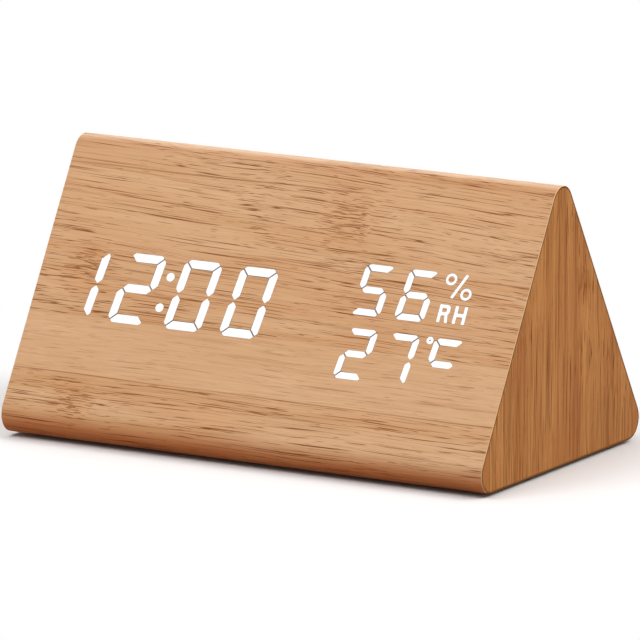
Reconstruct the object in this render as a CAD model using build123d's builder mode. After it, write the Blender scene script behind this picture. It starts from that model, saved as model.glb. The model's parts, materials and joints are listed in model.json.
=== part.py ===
from build123d import *
import math
import os
from typing import NamedTuple

os.makedirs("parts", exist_ok=True)

# A digital LED desk clock: a hollow triangular prism of MDF boards wrapped in bamboo film.
# Millimetres. X runs along the clock to the viewer's right, the display face looks towards -Y
# and up, Z is up, and the origin is on the table below the middle of the case.

# Case
length = 150.0
prism_base = 94.5  # depth between the sharp bottom corners, before they are rounded
face_slope = 60.0  # degrees between the table and the display face
corner_radius = 5.5
film_thickness = 0.5
board_thickness = 5.0
end_panel_thickness = 3.0
end_fit = 0.1  # air between an end panel and the wrap

# Rubber feet
foot_diameter = 9.0
foot_height = 1.0
foot_edge = 0.25
foot_end_inset = 14.0  # from the end of the case to a foot's centre
foot_side_inset = 17.0  # from the sharp bottom corner to a foot's centre

# Seven-segment digits, measured on the display face: u along the case, v up the slope
digit_slant = 5.2  # degrees that a digit leans to the right
bar_gap = 0.25  # between neighbouring bars of one digit
bar_clearance = 0.04  # round a bar, in the film and in the reflector
corner_cut_share = 0.3  # of the stroke, taken off the outer corner of a digit
time_digit_width = 9.44  # between the middles of the side bars
time_digit_height = 17.7  # between the middles of the top and bottom bars
time_stroke = 2.4
time_end_inset = 14.1  # from the left end to the middle of the first digit
time_row_v = 46.4
colon_dot_diameter = 2.5
colon_rise = 4.45  # from the middle of the row to a dot
small_digit_width = 7.3
small_digit_height = 12.6
small_stroke = 1.95
humidity_row_v = 53.95
temperature_row_v = 35.75
unit_step = 13.6  # from the last digit of the row to the C
degree_dot_diameter = 2.1
degree_step = 8.2  # from the last digit of the row to the degree dot
degree_rise = 6.3  # from the middle of the row to the degree dot
sign_width = 11.4  # light pocket behind the humidity sign
sign_height = 15.2
sign_step = 12.1  # from the last digit of the row to the sign
sign_v = 54.1
# Steps between digits, and middles of the first small digits from the face's left end
time_pitch_share = 0.1177
humidity_first_share = 0.69
humidity_pitch_share = 0.09
temperature_first_share = 0.6893
temperature_pitch_share = 0.086

# Display module
window_margin = 0.8  # from the outermost bar to the edge of the board's window
window_fit = 0.3  # air round the reflector in a window
flange_thickness = 2.0
flange_margin = 2.0  # that the flange reaches past the windows
circuit_thickness = 1.6
led_length = 1.4
led_width = 0.8
led_height = 0.6
led_air = 0.1
driver_length = 17.9
driver_width = 7.5
driver_height = 2.3
driver_lead_count = 14
chip_lead_pitch = 1.27
chip_lead_width = 0.45
chip_lead_reach = 1.4
chip_lead_thickness = 0.3

# Small self-tapping screws
screw_diameter = 2.0
screw_head_diameter = 4.0
screw_head_height = 1.4
screw_clearance = 0.3  # round a shank in a through hole
screw_bite = 0.05  # round a shank in its pilot hole
display_screw_length = 6.6
display_screw_inset = 4.0
board_screw_length = 5.6
plate_screw_length = 5.6
pilot_spare = 0.4  # that a pilot hole runs past the screw

# AAA cells and their bay
cell_count = 3
cell_diameter = 10.5
cell_length = 43.6
nub_diameter = 3.8
nub_height = 0.9
cell_gap = 0.4
contact_room = 3.5  # at each end of a cell
contact_width = 7.0
contact_thickness = 0.5
contact_air = 0.05
contact_edge = 1.6  # from the bay's mouth to the top of a contact
cradle_width = 4.0
cradle_height = 2.6

# Rear plate
plate_v = 38.0  # up the back face, from the sharp corner to the plate's middle
plate_thickness = 1.6
plate_side_margin = 8.0
plate_edge_margin = 4.0
plate_corner_radius = 4.0
plate_edge_chamfer = 0.5
moulding_wall = 1.6
plate_window_fit = 1.0  # air round the skirt in the back board
plate_screw_rise = 12.0
countersink_angle = 90.0
control_length = 46.0
control_depth = 8.0
board_depth = 6.0  # from the back face to the control board
board_edge_fit = 0.4
boss_diameter = 5.0
boss_inset = 3.2
vent_length = 7.0
vent_width = 1.0
vent_pitch = 2.2
vent_count = 4
sound_hole_diameter = 1.4

# Buttons and switches
button_names = ("set", "up", "down")
button_pitch = 12.5
button_row = 7.0  # above the middle of the control room
button_diameter = 7.0
button_clearance = 0.2
button_rise = 1.2
button_edge = 0.5
button_flange_diameter = 8.8
button_flange_thickness = 0.8
button_seat = 0.05
button_travel = 0.6
switch_size = 6.0
switch_height = 4.2
plunger_diameter = 3.4
plunger_clearance = 0.15
plunger_entry = 0.95  # of the plunger inside its switch at rest
pocket_spare = 0.25

# Battery door
door_overlap = 1.0  # that the door lies on the bay's walls
door_clearance = 0.3
door_corner_radius = 1.0
tongue_spacing = 24.0
tongue_width = 6.0
tongue_reach = 1.4
tongue_root = 2.4
tongue_thickness = 0.9
tongue_drop = 0.25
tongue_slot_depth = 3.0
latch_width = 8.0
latch_thickness = 1.0
latch_length = 1.5
latch_inset = 1.4
thumb_length = 14.0
thumb_width = 3.2
thumb_depth = 0.7
thumb_inset = 3.4

# Parts on the control board, placed from the control room's walls and from the jack
jack_size = 7.0
jack_length = 10.5
jack_seat = 0.1
jack_bore_diameter = 3.8
jack_bore_depth = 9.4
jack_pin_diameter = 1.25
jack_pin_recess = 1.2
jack_hole_diameter = 6.0
jack_fit = 0.15
microphone_diameter = 6.0
microphone_height = 2.7
sensor_length = 8.0
sensor_width = 6.0
sensor_height = 3.0
controller_length = 9.9
controller_width = 5.0
controller_height = 1.6
controller_lead_count = 7
controller_inset = 11.3  # from the bay's side wall to the chip's middle
controller_drop = 4.95  # from the room's top wall
crystal_length = 10.0
crystal_width = 4.0
crystal_height = 3.5
crystal_offset = 5.0  # from the jack's middle
crystal_lift = 2.95  # from the room's bottom wall
buzzer_diameter = 9.0
buzzer_height = 5.0
buzzer_hole_diameter = 1.5
buzzer_hole_depth = 1.0
buzzer_offset = 3.0  # from the jack's middle
buzzer_gap = 0.6  # above the jack
coin_diameter = 20.0
coin_thickness = 3.2
coin_fit = 0.2
holder_wall = 0.8
holder_floor = 0.6
holder_lip = 0.4  # that the cell stands proud of its holder
coin_side_gap = 1.5  # from the bay's side wall to the holder
coin_lift = 1.5  # from the room's bottom wall to the holder
socket_length = 14.0
socket_width = 4.4
socket_height = 4.0
socket_inset = 12.7  # from the room's outer wall to the socket's middle
socket_drop = 3.35  # from the room's top wall
display_socket_v = 40.0
ribbon_width = 12.0
ribbon_thickness = 0.9
ribbon_display_share = 0.24  # of the gap between the sockets, straight out of the display's socket
ribbon_control_share = 0.34
ribbon_bend_share = 0.14
lead_diameter = 1.3
lead_bend = 1.8
lead_rise = 2.6
lead_start = 4.0
lead_inset = 4.6
lead_row = 9.5
lead_spacing = 2.2

overrun = 1.0  # that a cut runs past the face it opens

# Sizes that follow
rise_share = math.sin(math.radians(face_slope))
run_share = math.cos(math.radians(face_slope))
prism_height = prism_base / 2 * math.tan(math.radians(face_slope))
case_wall = film_thickness + board_thickness
board_length = length - 2 * (film_thickness + end_panel_thickness)
circuit_depth = case_wall + flange_thickness
bar_depth = circuit_depth - led_height - led_air
bay_length = cell_length + nub_height + 2 * contact_room
bay_height = cell_count * cell_diameter + (cell_count + 1) * cell_gap
bay_depth = cell_diameter + 2 * cell_gap
cell_pitch = cell_diameter + cell_gap
skirt_length = bay_length + control_length + 3 * moulding_wall
skirt_height = bay_height + 2 * moulding_wall
plate_length = skirt_length + 2 * plate_side_margin
plate_height = skirt_height + 2 * plate_edge_margin
bay_x = (skirt_length - bay_length) / 2 - moulding_wall
control_x = (control_length - skirt_length) / 2 + moulding_wall
door_length = bay_length + 2 * door_overlap
door_height = bay_height + 2 * door_overlap
coin_holder_radius = coin_diameter / 2 + coin_fit + holder_wall

# The two sloping faces: local x across, local y up the slope, local z out of the case
front_face = Plane(
    origin=(0, -prism_base / 2, foot_height), x_dir=(1, 0, 0), z_dir=(0, -rise_share, run_share)
)
back_face = Plane(
    origin=(0, prism_base / 2, foot_height), x_dir=(-1, 0, 0), z_dir=(0, rise_share, run_share)
)
display_back = front_face.offset(-circuit_depth - circuit_thickness)
plate_plane = Plane(
    origin=back_face.from_local_coords((0, plate_v, 0)), x_dir=back_face.x_dir, z_dir=back_face.z_dir
)
control_plane = Plane(
    origin=plate_plane.from_local_coords((control_x, 0, 0)), x_dir=back_face.x_dir, z_dir=back_face.z_dir
)
control_back = control_plane.offset(-board_depth - circuit_thickness)
bay_plane = Plane(
    origin=plate_plane.from_local_coords((bay_x, 0, 0)), x_dir=back_face.x_dir, z_dir=back_face.z_dir
)
# Across the bay: local x up the slope, local y out of the case, local z along the cells
bay_section = Plane(origin=bay_plane.origin, x_dir=bay_plane.y_dir, z_dir=bay_plane.x_dir)


def inset_corners(inset):
    """Front, back and top corners of the case's sharp triangle, moved in by inset, as (y, z)."""
    half_base = prism_base / 2 - inset / math.tan(math.radians(face_slope / 2))
    front = (-half_base, foot_height + inset)
    back = (half_base, foot_height + inset)
    top = (0, foot_height + prism_height - inset / run_share)
    return front, back, top


def rounded_triangle(inset, mode=Mode.ADD):
    """Draw the case's rounded section, moved in by inset, in the open sketch."""
    with BuildLine() as outline:
        FilletPolyline(*inset_corners(inset), radius=corner_radius - inset, close=True)
    make_face(outline.edges(), mode=mode)


class Digit(NamedTuple):
    """A seven-segment digit: its middle, its size on the bars' centre lines and its bars."""

    u: float
    v: float
    width: float
    height: float
    stroke: float
    lit: str
    bars: str = "abcdefg"


def bar_outline(digit, letter):
    """Corner points of one bar, drawn as top, middle or upper right bar, mirrored and leant."""
    half_width = digit.width / 2
    half_height = digit.height / 2
    half_stroke = digit.stroke / 2
    cut = corner_cut_share * digit.stroke
    mitre_run = digit.stroke - cut
    half_gap = bar_gap / 2
    tip_gap = bar_gap / math.sqrt(2)
    inner = half_width - half_stroke
    outer = half_width + half_stroke
    top = half_height + half_stroke
    under = half_height - half_stroke
    if letter in "ad":
        reach = outer - cut - half_gap
        neck = inner - half_gap
        points = [(reach, top), (neck, under), (-neck, under), (-reach, top)]
    elif letter == "g":
        tip = half_width - tip_gap
        flat = tip - half_stroke
        points = [(tip, 0), (flat, half_stroke), (-flat, half_stroke)]
        points += [(-x, -y) for x, y in points]
    else:
        point = inner + mitre_run**2 / digit.stroke + half_gap
        points = [
            (outer, top - cut - (outer - point)),
            (point, top - cut),
            (inner, under - half_gap * digit.stroke / mitre_run),
            (inner, tip_gap + half_stroke),
            (half_width, tip_gap),
            (outer, tip_gap + half_stroke),
        ]
    across = -1 if letter in "ef" else 1
    upward = -1 if letter in "cde" else 1
    lean = math.tan(math.radians(digit_slant))
    return [
        (digit.u + across * x + lean * upward * y, digit.v + upward * y) for x, y in points
    ]


def outlines(digits, lit=None):
    """Outlines of all bars of some digits, or of the lit or unlit ones alone."""
    return [
        bar_outline(digit, letter)
        for digit in digits
        for letter in digit.bars
        if lit is None or lit == (letter in digit.lit)
    ]


def surround(digits, margin):
    """Lowest and highest corners of a box round some digits: low u, low v, high u, high v."""
    points = [point for outline in outlines(digits) for point in outline]
    low_u, low_v = (min(values) - margin for values in zip(*points))
    high_u, high_v = (max(values) + margin for values in zip(*points))
    return low_u, low_v, high_u, high_v


def draw_box(box, grow=0.0):
    """Draw a box given by its corners, grown on all sides, in the open sketch."""
    low_u, low_v, high_u, high_v = box
    with Locations(((low_u + high_u) / 2, (low_v + high_v) / 2)):
        Rectangle(high_u - low_u + 2 * grow, high_v - low_v + 2 * grow)


def along(share):
    """Place on the display face at a share of the case's length from its left end."""
    return (share - 1 / 2) * length


# The display reads 12:00, 56 and 27 C
lit_bars = {"0": "abcdef", "1": "bc", "2": "abdeg", "5": "acdfg", "6": "acdefg", "7": "abc", "C": "afg"}
time_digits = [
    Digit(
        along(place * time_pitch_share) + time_end_inset,
        time_row_v,
        time_digit_width,
        time_digit_height,
        time_stroke,
        lit_bars[numeral],
    )
    for place, numeral in enumerate("1200")
]
humidity_digits = [
    Digit(
        along(humidity_first_share + place * humidity_pitch_share),
        humidity_row_v,
        small_digit_width,
        small_digit_height,
        small_stroke,
        lit_bars[numeral],
    )
    for place, numeral in enumerate("56")
]
temperature_digits = [
    Digit(
        along(temperature_first_share + place * temperature_pitch_share),
        temperature_row_v,
        small_digit_width,
        small_digit_height,
        small_stroke,
        lit_bars[numeral],
    )
    for place, numeral in enumerate("27")
]
unit_digit = Digit(
    temperature_digits[-1].u + unit_step,
    temperature_row_v,
    small_digit_width,
    small_digit_height,
    small_stroke,
    lit_bars["C"],
    "aefg",
)
degree_place = (temperature_digits[-1].u + degree_step, temperature_row_v + degree_rise)
sign_place = (humidity_digits[-1].u + sign_step, sign_v)
temperature_digits.append(unit_digit)
all_digits = time_digits + humidity_digits + temperature_digits

colon_lean = colon_rise * math.tan(math.radians(digit_slant))
colon_u = (time_digits[1].u + time_digits[2].u) / 2
colon_places = [
    (colon_u + colon_lean, time_row_v + colon_rise),
    (colon_u - colon_lean, time_row_v - colon_rise),
]

time_window = surround(time_digits, window_margin)
side_low_u, side_low_v, side_high_u, side_high_v = surround(
    humidity_digits + temperature_digits, window_margin
)
side_window = (
    side_low_u,
    side_low_v,
    max(side_high_u, sign_place[0] + sign_width / 2 + window_margin),
    max(side_high_v, sign_place[1] + sign_height / 2 + window_margin),
)
display_box = (
    time_window[0] - flange_margin,
    min(time_window[1], side_window[1]) - flange_margin,
    side_window[2] + flange_margin,
    max(time_window[3], side_window[3]) + flange_margin,
)
display_screw_places = [
    (u, v)
    for u in (time_window[0] + display_screw_inset, (time_window[2] + side_window[0]) / 2)
    for v in (display_box[1] + display_screw_inset, display_box[3] - display_screw_inset)
]
plate_screw_x = (plate_length - plate_side_margin) / 2
room_side = control_length / 2
room_top = bay_height / 2
boss_places = [
    (x, y)
    for x in (boss_inset - room_side, room_side - boss_inset)
    for y in (boss_inset - room_top, room_top - boss_inset)
]
button_places = [(place * button_pitch, button_row) for place in (-1, 0, 1)]
jack_place = (-button_pitch, -button_row)
sound_place = (0, -button_row)
vent_place = (button_pitch, -button_row)
controller_place = (room_side - controller_inset, room_top - controller_drop)
crystal_place = (jack_place[0] + crystal_offset, crystal_lift - room_top)
buzzer_place = (
    jack_place[0] + buzzer_offset,
    jack_place[1] + jack_size / 2 + buzzer_gap + buzzer_diameter / 2,
)
coin_place = (
    room_side - coin_side_gap - coin_holder_radius,
    coin_lift + coin_holder_radius - room_top,
)
socket_place = (socket_inset - room_side, room_top - socket_drop)


def draw_light_paths():
    """Draw every bar and dot of the display with its clearance, in the open sketch."""
    for outline in outlines(all_digits):
        Polygon(*outline)
    with Locations(*colon_places):
        Circle(colon_dot_diameter / 2)
    with Locations(degree_place):
        Circle(degree_dot_diameter / 2)
    offset(amount=bar_clearance, kind=Kind.INTERSECTION)


# Three boards, mitred where they meet, with their outer corners rounded
front_corner, back_corner, top_corner = inset_corners(0)
centre_corner = (0, foot_height + prism_base / 2 * math.tan(math.radians(face_slope / 2)))


def board_section(first_corner, second_corner):
    """Draw the part of the hollow case section between two corners, in the open sketch."""
    rounded_triangle(film_thickness)
    Polygon(*inset_corners(case_wall), mode=Mode.SUBTRACT)
    Polygon(first_corner, second_corner, centre_corner, mode=Mode.INTERSECT)


with BuildPart() as front_board:
    with BuildSketch(Plane.YZ.offset(-board_length / 2)):
        board_section(front_corner, top_corner)
    extrude(amount=board_length)
    with BuildSketch(front_face):
        draw_box(time_window)
        draw_box(side_window)
    extrude(amount=-case_wall - overrun, mode=Mode.SUBTRACT)
    with BuildSketch(front_face.offset(-case_wall)):
        with Locations(*display_screw_places):
            Circle(screw_diameter / 2 + screw_bite)
    extrude(
        amount=display_screw_length - circuit_thickness - flange_thickness + pilot_spare,
        mode=Mode.SUBTRACT,
    )
front_board.part.label = "front_board"
export_step(front_board.part, "parts/front_board.step")

with BuildPart() as back_board:
    with BuildSketch(Plane.YZ.offset(-board_length / 2)):
        board_section(back_corner, top_corner)
    extrude(amount=board_length)
    with BuildSketch(plate_plane):
        Rectangle(skirt_length + 2 * plate_window_fit, skirt_height + 2 * plate_window_fit)
    extrude(amount=-case_wall - overrun, mode=Mode.SUBTRACT)
    with BuildSketch(plate_plane):
        with GridLocations(2 * plate_screw_x, 2 * plate_screw_rise, 2, 2):
            Circle(screw_diameter / 2 + screw_bite)
    extrude(amount=-(plate_screw_length - plate_thickness) - pilot_spare, mode=Mode.SUBTRACT)
back_board.part.label = "back_board"
export_step(back_board.part, "parts/back_board.step")

with BuildPart() as base_board:
    with BuildSketch(Plane.YZ.offset(-board_length / 2)):
        board_section(front_corner, back_corner)
    extrude(amount=board_length)
base_board.part.label = "base_board"
export_step(base_board.part, "parts/base_board.step")

# Bamboo film round the three boards, pierced by the bars of the display and by the rear plate
with BuildPart() as wood_grain_wrap:
    with BuildSketch(Plane.YZ.offset(-length / 2)):
        rounded_triangle(0)
        rounded_triangle(film_thickness, Mode.SUBTRACT)
    extrude(amount=length)
    with BuildSketch(front_face.offset(overrun)):
        draw_light_paths()
    extrude(amount=-film_thickness - 2 * overrun, mode=Mode.SUBTRACT)
    with BuildSketch(plate_plane.offset(overrun)):
        Rectangle(skirt_length + 2 * plate_window_fit, skirt_height + 2 * plate_window_fit)
        with GridLocations(2 * plate_screw_x, 2 * plate_screw_rise, 2, 2):
            Circle(screw_diameter / 2 + screw_clearance)
    extrude(amount=-film_thickness - 2 * overrun, mode=Mode.SUBTRACT)
wood_grain_wrap.part.label = "wood_grain_wrap"
export_step(wood_grain_wrap.part, "parts/wood_grain_wrap.step")

# End panels and their film, inside the wrap and flush with its edge
for side, outward in (("left", -1), ("right", 1)):
    with BuildPart() as end_panel:
        with BuildSketch(Plane.YZ.offset(outward * board_length / 2)):
            rounded_triangle(film_thickness + end_fit)
        extrude(amount=outward * end_panel_thickness)
    end_panel.part.label = f"{side}_end_panel"
    export_step(end_panel.part, f"parts/{side}_end_panel.step")

    with BuildPart() as end_film:
        with BuildSketch(Plane.YZ.offset(outward * (length / 2 - film_thickness))):
            rounded_triangle(film_thickness + end_fit)
        extrude(amount=outward * film_thickness)
    end_film.part.label = f"{side}_end_film"
    export_step(end_film.part, f"parts/{side}_end_film.step")

# Light box behind the front board: two blocks stand in its windows, with a cavity for each bar
with BuildPart() as display_reflector:
    with BuildSketch(front_face.offset(-case_wall)):
        draw_box(display_box)
    extrude(amount=-flange_thickness)
    with BuildSketch(front_face.offset(-case_wall)):
        draw_box(time_window, -window_fit)
        draw_box(side_window, -window_fit)
    extrude(amount=board_thickness)
    with BuildSketch(front_face):
        draw_light_paths()
    extrude(amount=-circuit_depth - overrun, mode=Mode.SUBTRACT)
    with BuildSketch(front_face):
        with Locations(sign_place):
            Rectangle(sign_width, sign_height)
        with Locations(*display_screw_places):
            Circle(screw_diameter / 2 + screw_clearance)
    extrude(amount=-circuit_depth - overrun, mode=Mode.SUBTRACT)
display_reflector.part.label = "display_reflector"
export_step(display_reflector.part, "parts/display_reflector.step")

# Light bars: clear castings that fill their cavities and end flush with the film
for row, digits in (
    ("time", time_digits),
    ("humidity", humidity_digits),
    ("temperature", temperature_digits),
):
    for state, lit in (("lit", True), ("unlit", False)):
        with BuildPart() as segments:
            with BuildSketch(front_face):
                for outline in outlines(digits, lit):
                    Polygon(*outline)
            extrude(amount=-bar_depth)
        segments.part.label = f"{row}_segments_{state}"
        export_step(segments.part, f"parts/{row}_segments_{state}.step")

with BuildPart() as colon_dots:
    with BuildSketch(front_face):
        with Locations(*colon_places):
            Circle(colon_dot_diameter / 2)
    extrude(amount=-bar_depth)
colon_dots.part.label = "colon_dots"
export_step(colon_dots.part, "parts/colon_dots.step")

with BuildPart() as degree_dot:
    with BuildSketch(front_face):
        with Locations(degree_place):
            Circle(degree_dot_diameter / 2)
    extrude(amount=-bar_depth)
degree_dot.part.label = "degree_dot"
export_step(degree_dot.part, "parts/degree_dot.step")

with BuildPart() as unit_sign_diffuser:
    with BuildSketch(front_face.offset(-film_thickness)):
        with Locations(sign_place):
            Rectangle(sign_width - 2 * bar_clearance, sign_height - 2 * bar_clearance)
    extrude(amount=film_thickness - bar_depth)
unit_sign_diffuser.part.label = "unit_sign_diffuser"
export_step(unit_sign_diffuser.part, "parts/unit_sign_diffuser.step")

# One LED under each bar and dot, and two under the humidity sign
led_places = [
    tuple(sum(values) / len(outline) for values in zip(*outline)) for outline in outlines(all_digits)
]
led_places += colon_places + [degree_place]
led_places += [(sign_place[0], sign_place[1] + rise * sign_height / 4) for rise in (-1, 1)]
with BuildPart() as segment_leds:
    with BuildSketch(front_face.offset(-circuit_depth)):
        with Locations(*led_places):
            Rectangle(led_length, led_width)
    extrude(amount=led_height)
segment_leds.part.label = "segment_leds"
export_step(segment_leds.part, "parts/segment_leds.step")

with BuildPart() as display_board:
    with BuildSketch(front_face.offset(-circuit_depth)):
        draw_box(display_box)
        with Locations(*display_screw_places):
            Circle(screw_diameter / 2 + screw_clearance, mode=Mode.SUBTRACT)
    extrude(amount=-circuit_thickness)
display_board.part.label = "display_board"
export_step(display_board.part, "parts/display_board.step")

with BuildPart() as display_screws:
    with BuildSketch(display_back):
        with Locations(*display_screw_places):
            Circle(screw_head_diameter / 2)
    extrude(amount=-screw_head_height)
    with BuildSketch(display_back):
        with Locations(*display_screw_places):
            Circle(screw_diameter / 2)
    extrude(amount=display_screw_length)
display_screws.part.label = "display_screws"
export_step(display_screws.part, "parts/display_screws.step")

# Driver chip in the middle of the display board's back, with a row of feet on each long side
driver_place = ((time_window[0] + time_window[2]) / 2, time_row_v)
with BuildPart() as driver_chip:
    with BuildSketch(display_back):
        with Locations(driver_place):
            Rectangle(driver_length, driver_width)
    extrude(amount=-driver_height)
    with BuildSketch(display_back):
        with Locations(driver_place):
            with GridLocations(chip_lead_pitch, driver_width, driver_lead_count, 2):
                Rectangle(chip_lead_width, 2 * chip_lead_reach)
    extrude(amount=-chip_lead_thickness)
driver_chip.part.label = "driver_chip"
export_step(driver_chip.part, "parts/driver_chip.step")

# Rear plate: one moulding with a flange, a skirt round the control room and a closed battery bay
with BuildPart() as rear_plate:
    with BuildSketch(plate_plane):
        RectangleRounded(plate_length, plate_height, plate_corner_radius)
    extrude(amount=plate_thickness)
    outer_edges = rear_plate.edges().group_by(Axis(plate_plane.origin, plate_plane.z_dir))[-1]
    chamfer(outer_edges, plate_edge_chamfer)
    with BuildSketch(plate_plane):
        Rectangle(skirt_length, skirt_height)
        with Locations((control_x, 0)):
            Rectangle(control_length, bay_height, mode=Mode.SUBTRACT)
    extrude(amount=-control_depth)
    with BuildSketch(bay_plane):
        Rectangle(bay_length + 2 * moulding_wall, skirt_height)
    extrude(amount=-bay_depth - moulding_wall)
    with BuildSketch(bay_plane):
        Rectangle(bay_length, bay_height)
    extrude(amount=-bay_depth, mode=Mode.SUBTRACT)
    with BuildSketch(bay_plane):
        RectangleRounded(
            door_length + 2 * door_clearance,
            door_height + 2 * door_clearance,
            door_corner_radius + door_clearance,
        )
    extrude(amount=plate_thickness, mode=Mode.SUBTRACT)
    with BuildSketch(bay_section.offset(-bay_length / 2)):
        with GridLocations(cell_pitch, 0, cell_count - 1, 1):
            Polygon(
                (-cradle_width / 2, -bay_depth),
                (cradle_width / 2, -bay_depth),
                (0, cradle_height - bay_depth),
            )
    extrude(amount=bay_length)
    with BuildSketch(bay_plane):
        with Locations((0, -bay_height / 2 - moulding_wall / 2)):
            with GridLocations(tongue_spacing, 0, 2, 1):
                Rectangle(tongue_width + 2 * door_clearance, moulding_wall)
    extrude(amount=-tongue_slot_depth, mode=Mode.SUBTRACT)
    with BuildSketch(control_plane):
        with Locations(*boss_places):
            Circle(boss_diameter / 2)
    extrude(amount=-board_depth)
    with BuildSketch(control_plane.offset(-board_depth)):
        with Locations(*boss_places):
            Circle(screw_diameter / 2 + screw_bite)
    extrude(amount=board_screw_length - circuit_thickness + pilot_spare, mode=Mode.SUBTRACT)
    with BuildSketch(control_plane):
        with Locations(*button_places):
            Circle(button_diameter / 2 + button_clearance)
        with Locations(jack_place):
            Circle(jack_hole_diameter / 2)
        with Locations(sound_place):
            Circle(sound_hole_diameter / 2)
        with Locations(vent_place):
            with GridLocations(vent_pitch, 0, vent_count, 1):
                SlotOverall(vent_length, vent_width, rotation=90)
    extrude(amount=plate_thickness, mode=Mode.SUBTRACT)
    with Locations(plate_plane.offset(plate_thickness)):
        with GridLocations(2 * plate_screw_x, 2 * plate_screw_rise, 2, 2):
            CounterSinkHole(
                screw_diameter / 2 + screw_clearance,
                screw_head_diameter / 2,
                depth=plate_thickness,
                counter_sink_angle=countersink_angle,
            )
rear_plate.part.label = "rear_plate"
export_step(rear_plate.part, "parts/rear_plate.step")

# Countersunk screws through the rear plate into the back board
cone_height = (screw_head_diameter - screw_diameter) / 2 / math.tan(math.radians(countersink_angle / 2))
with BuildPart() as plate_screws:
    with Locations(plate_plane.offset(plate_thickness)):
        with GridLocations(2 * plate_screw_x, 2 * plate_screw_rise, 2, 2):
            Cone(
                screw_diameter / 2 - screw_bite,
                screw_head_diameter / 2 - screw_bite,
                cone_height,
                align=(Align.CENTER, Align.CENTER, Align.MAX),
            )
    with BuildSketch(plate_plane.offset(plate_thickness)):
        with GridLocations(2 * plate_screw_x, 2 * plate_screw_rise, 2, 2):
            Circle(screw_diameter / 2)
    extrude(amount=-plate_screw_length)
plate_screws.part.label = "plate_screws"
export_step(plate_screws.part, "parts/plate_screws.step")

# Battery door: lies on the bay's walls, hooked by two tongues below and held by a latch above
door_section = Plane(
    origin=bay_plane.from_local_coords((0, -door_height / 2, 0)),
    x_dir=bay_plane.y_dir,
    z_dir=bay_plane.x_dir,
)
with BuildPart() as battery_door:
    with BuildSketch(bay_plane):
        RectangleRounded(door_length, door_height, door_corner_radius)
    extrude(amount=plate_thickness)
    with BuildSketch(bay_plane.offset(plate_thickness)):
        with Locations((0, door_height / 2 - thumb_inset)):
            SlotOverall(thumb_length, thumb_width)
    extrude(amount=-thumb_depth, mode=Mode.SUBTRACT)
    for place in (-1, 1):
        with BuildSketch(door_section.offset((place * tongue_spacing - tongue_width) / 2)):
            Polygon(
                (tongue_root, 0),
                (0, 0),
                (-tongue_reach, -tongue_drop),
                (-tongue_reach, -tongue_thickness),
                (tongue_root, -tongue_thickness),
            )
        extrude(amount=tongue_width)
    with BuildSketch(bay_plane):
        with Locations((0, door_height / 2 - latch_inset - latch_thickness / 2)):
            Rectangle(latch_width, latch_thickness)
    extrude(amount=-latch_length)
battery_door.part.label = "battery_door"
export_step(battery_door.part, "parts/battery_door.step")

# Three AAA cells side by side, the middle one turned round
cell_axis_depth = cell_gap + cell_diameter / 2
cell_places = [
    ((place - (cell_count - 1) / 2) * cell_pitch, -cell_axis_depth) for place in range(cell_count)
]
cell_ends = (1, -1) * cell_count
with BuildPart() as battery_cells:
    for place, end in zip(cell_places, cell_ends):
        with BuildSketch(bay_section.offset(-end * (cell_length + nub_height) / 2)):
            with Locations(place):
                Circle(cell_diameter / 2)
        extrude(amount=end * cell_length)
        with BuildSketch(bay_section.offset(end * (cell_length - nub_height) / 2)):
            with Locations(place):
                Circle(nub_diameter / 2)
        extrude(amount=end * nub_height)
battery_cells.part.label = "battery_cells"
export_step(battery_cells.part, "parts/battery_cells.step")

# Leaf contacts on the bay's end walls, each bent out to meet its cell
contact_floor = contact_air - bay_depth + cradle_height
with BuildPart() as battery_contacts:
    for (row_place, axis_place), end in zip(cell_places, cell_ends):
        for facing in (-1, 1):
            reach = contact_room - contact_air
            contact_plane = Plane(
                origin=bay_plane.from_local_coords(
                    (-facing * bay_length / 2, row_place + facing * contact_width / 2, 0)
                ),
                x_dir=bay_plane.x_dir * facing,
                z_dir=bay_plane.y_dir * -facing,
            )
            with BuildSketch(contact_plane):
                Polygon(
                    (contact_air, -contact_edge),
                    (contact_air + contact_thickness, -contact_edge),
                    (reach, axis_place),
                    (reach, axis_place - contact_thickness),
                    (reach - contact_thickness, axis_place - contact_thickness),
                    (contact_air + contact_thickness, -contact_edge - 2 * contact_thickness),
                    (contact_air + contact_thickness, contact_floor),
                    (contact_air, contact_floor),
                )
            extrude(amount=contact_width)
battery_contacts.part.label = "battery_contacts"
export_step(battery_contacts.part, "parts/battery_contacts.step")

# Control board on the rear plate's bosses, with its screws
with BuildPart() as control_board:
    with BuildSketch(control_plane.offset(-board_depth)):
        Rectangle(control_length - 2 * board_edge_fit, bay_height - 2 * board_edge_fit)
        with Locations(*boss_places):
            Circle(screw_diameter / 2 + screw_clearance, mode=Mode.SUBTRACT)
        with Locations(jack_place):
            Rectangle(jack_size + 2 * jack_fit, jack_size + 2 * jack_fit, mode=Mode.SUBTRACT)
    extrude(amount=-circuit_thickness)
control_board.part.label = "control_board"
export_step(control_board.part, "parts/control_board.step")

with BuildPart() as board_screws:
    with BuildSketch(control_back):
        with Locations(*boss_places):
            Circle(screw_head_diameter / 2)
    extrude(amount=-screw_head_height)
    with BuildSketch(control_back):
        with Locations(*boss_places):
            Circle(screw_diameter / 2)
    extrude(amount=board_screw_length)
board_screws.part.label = "board_screws"
export_step(board_screws.part, "parts/board_screws.step")

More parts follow.
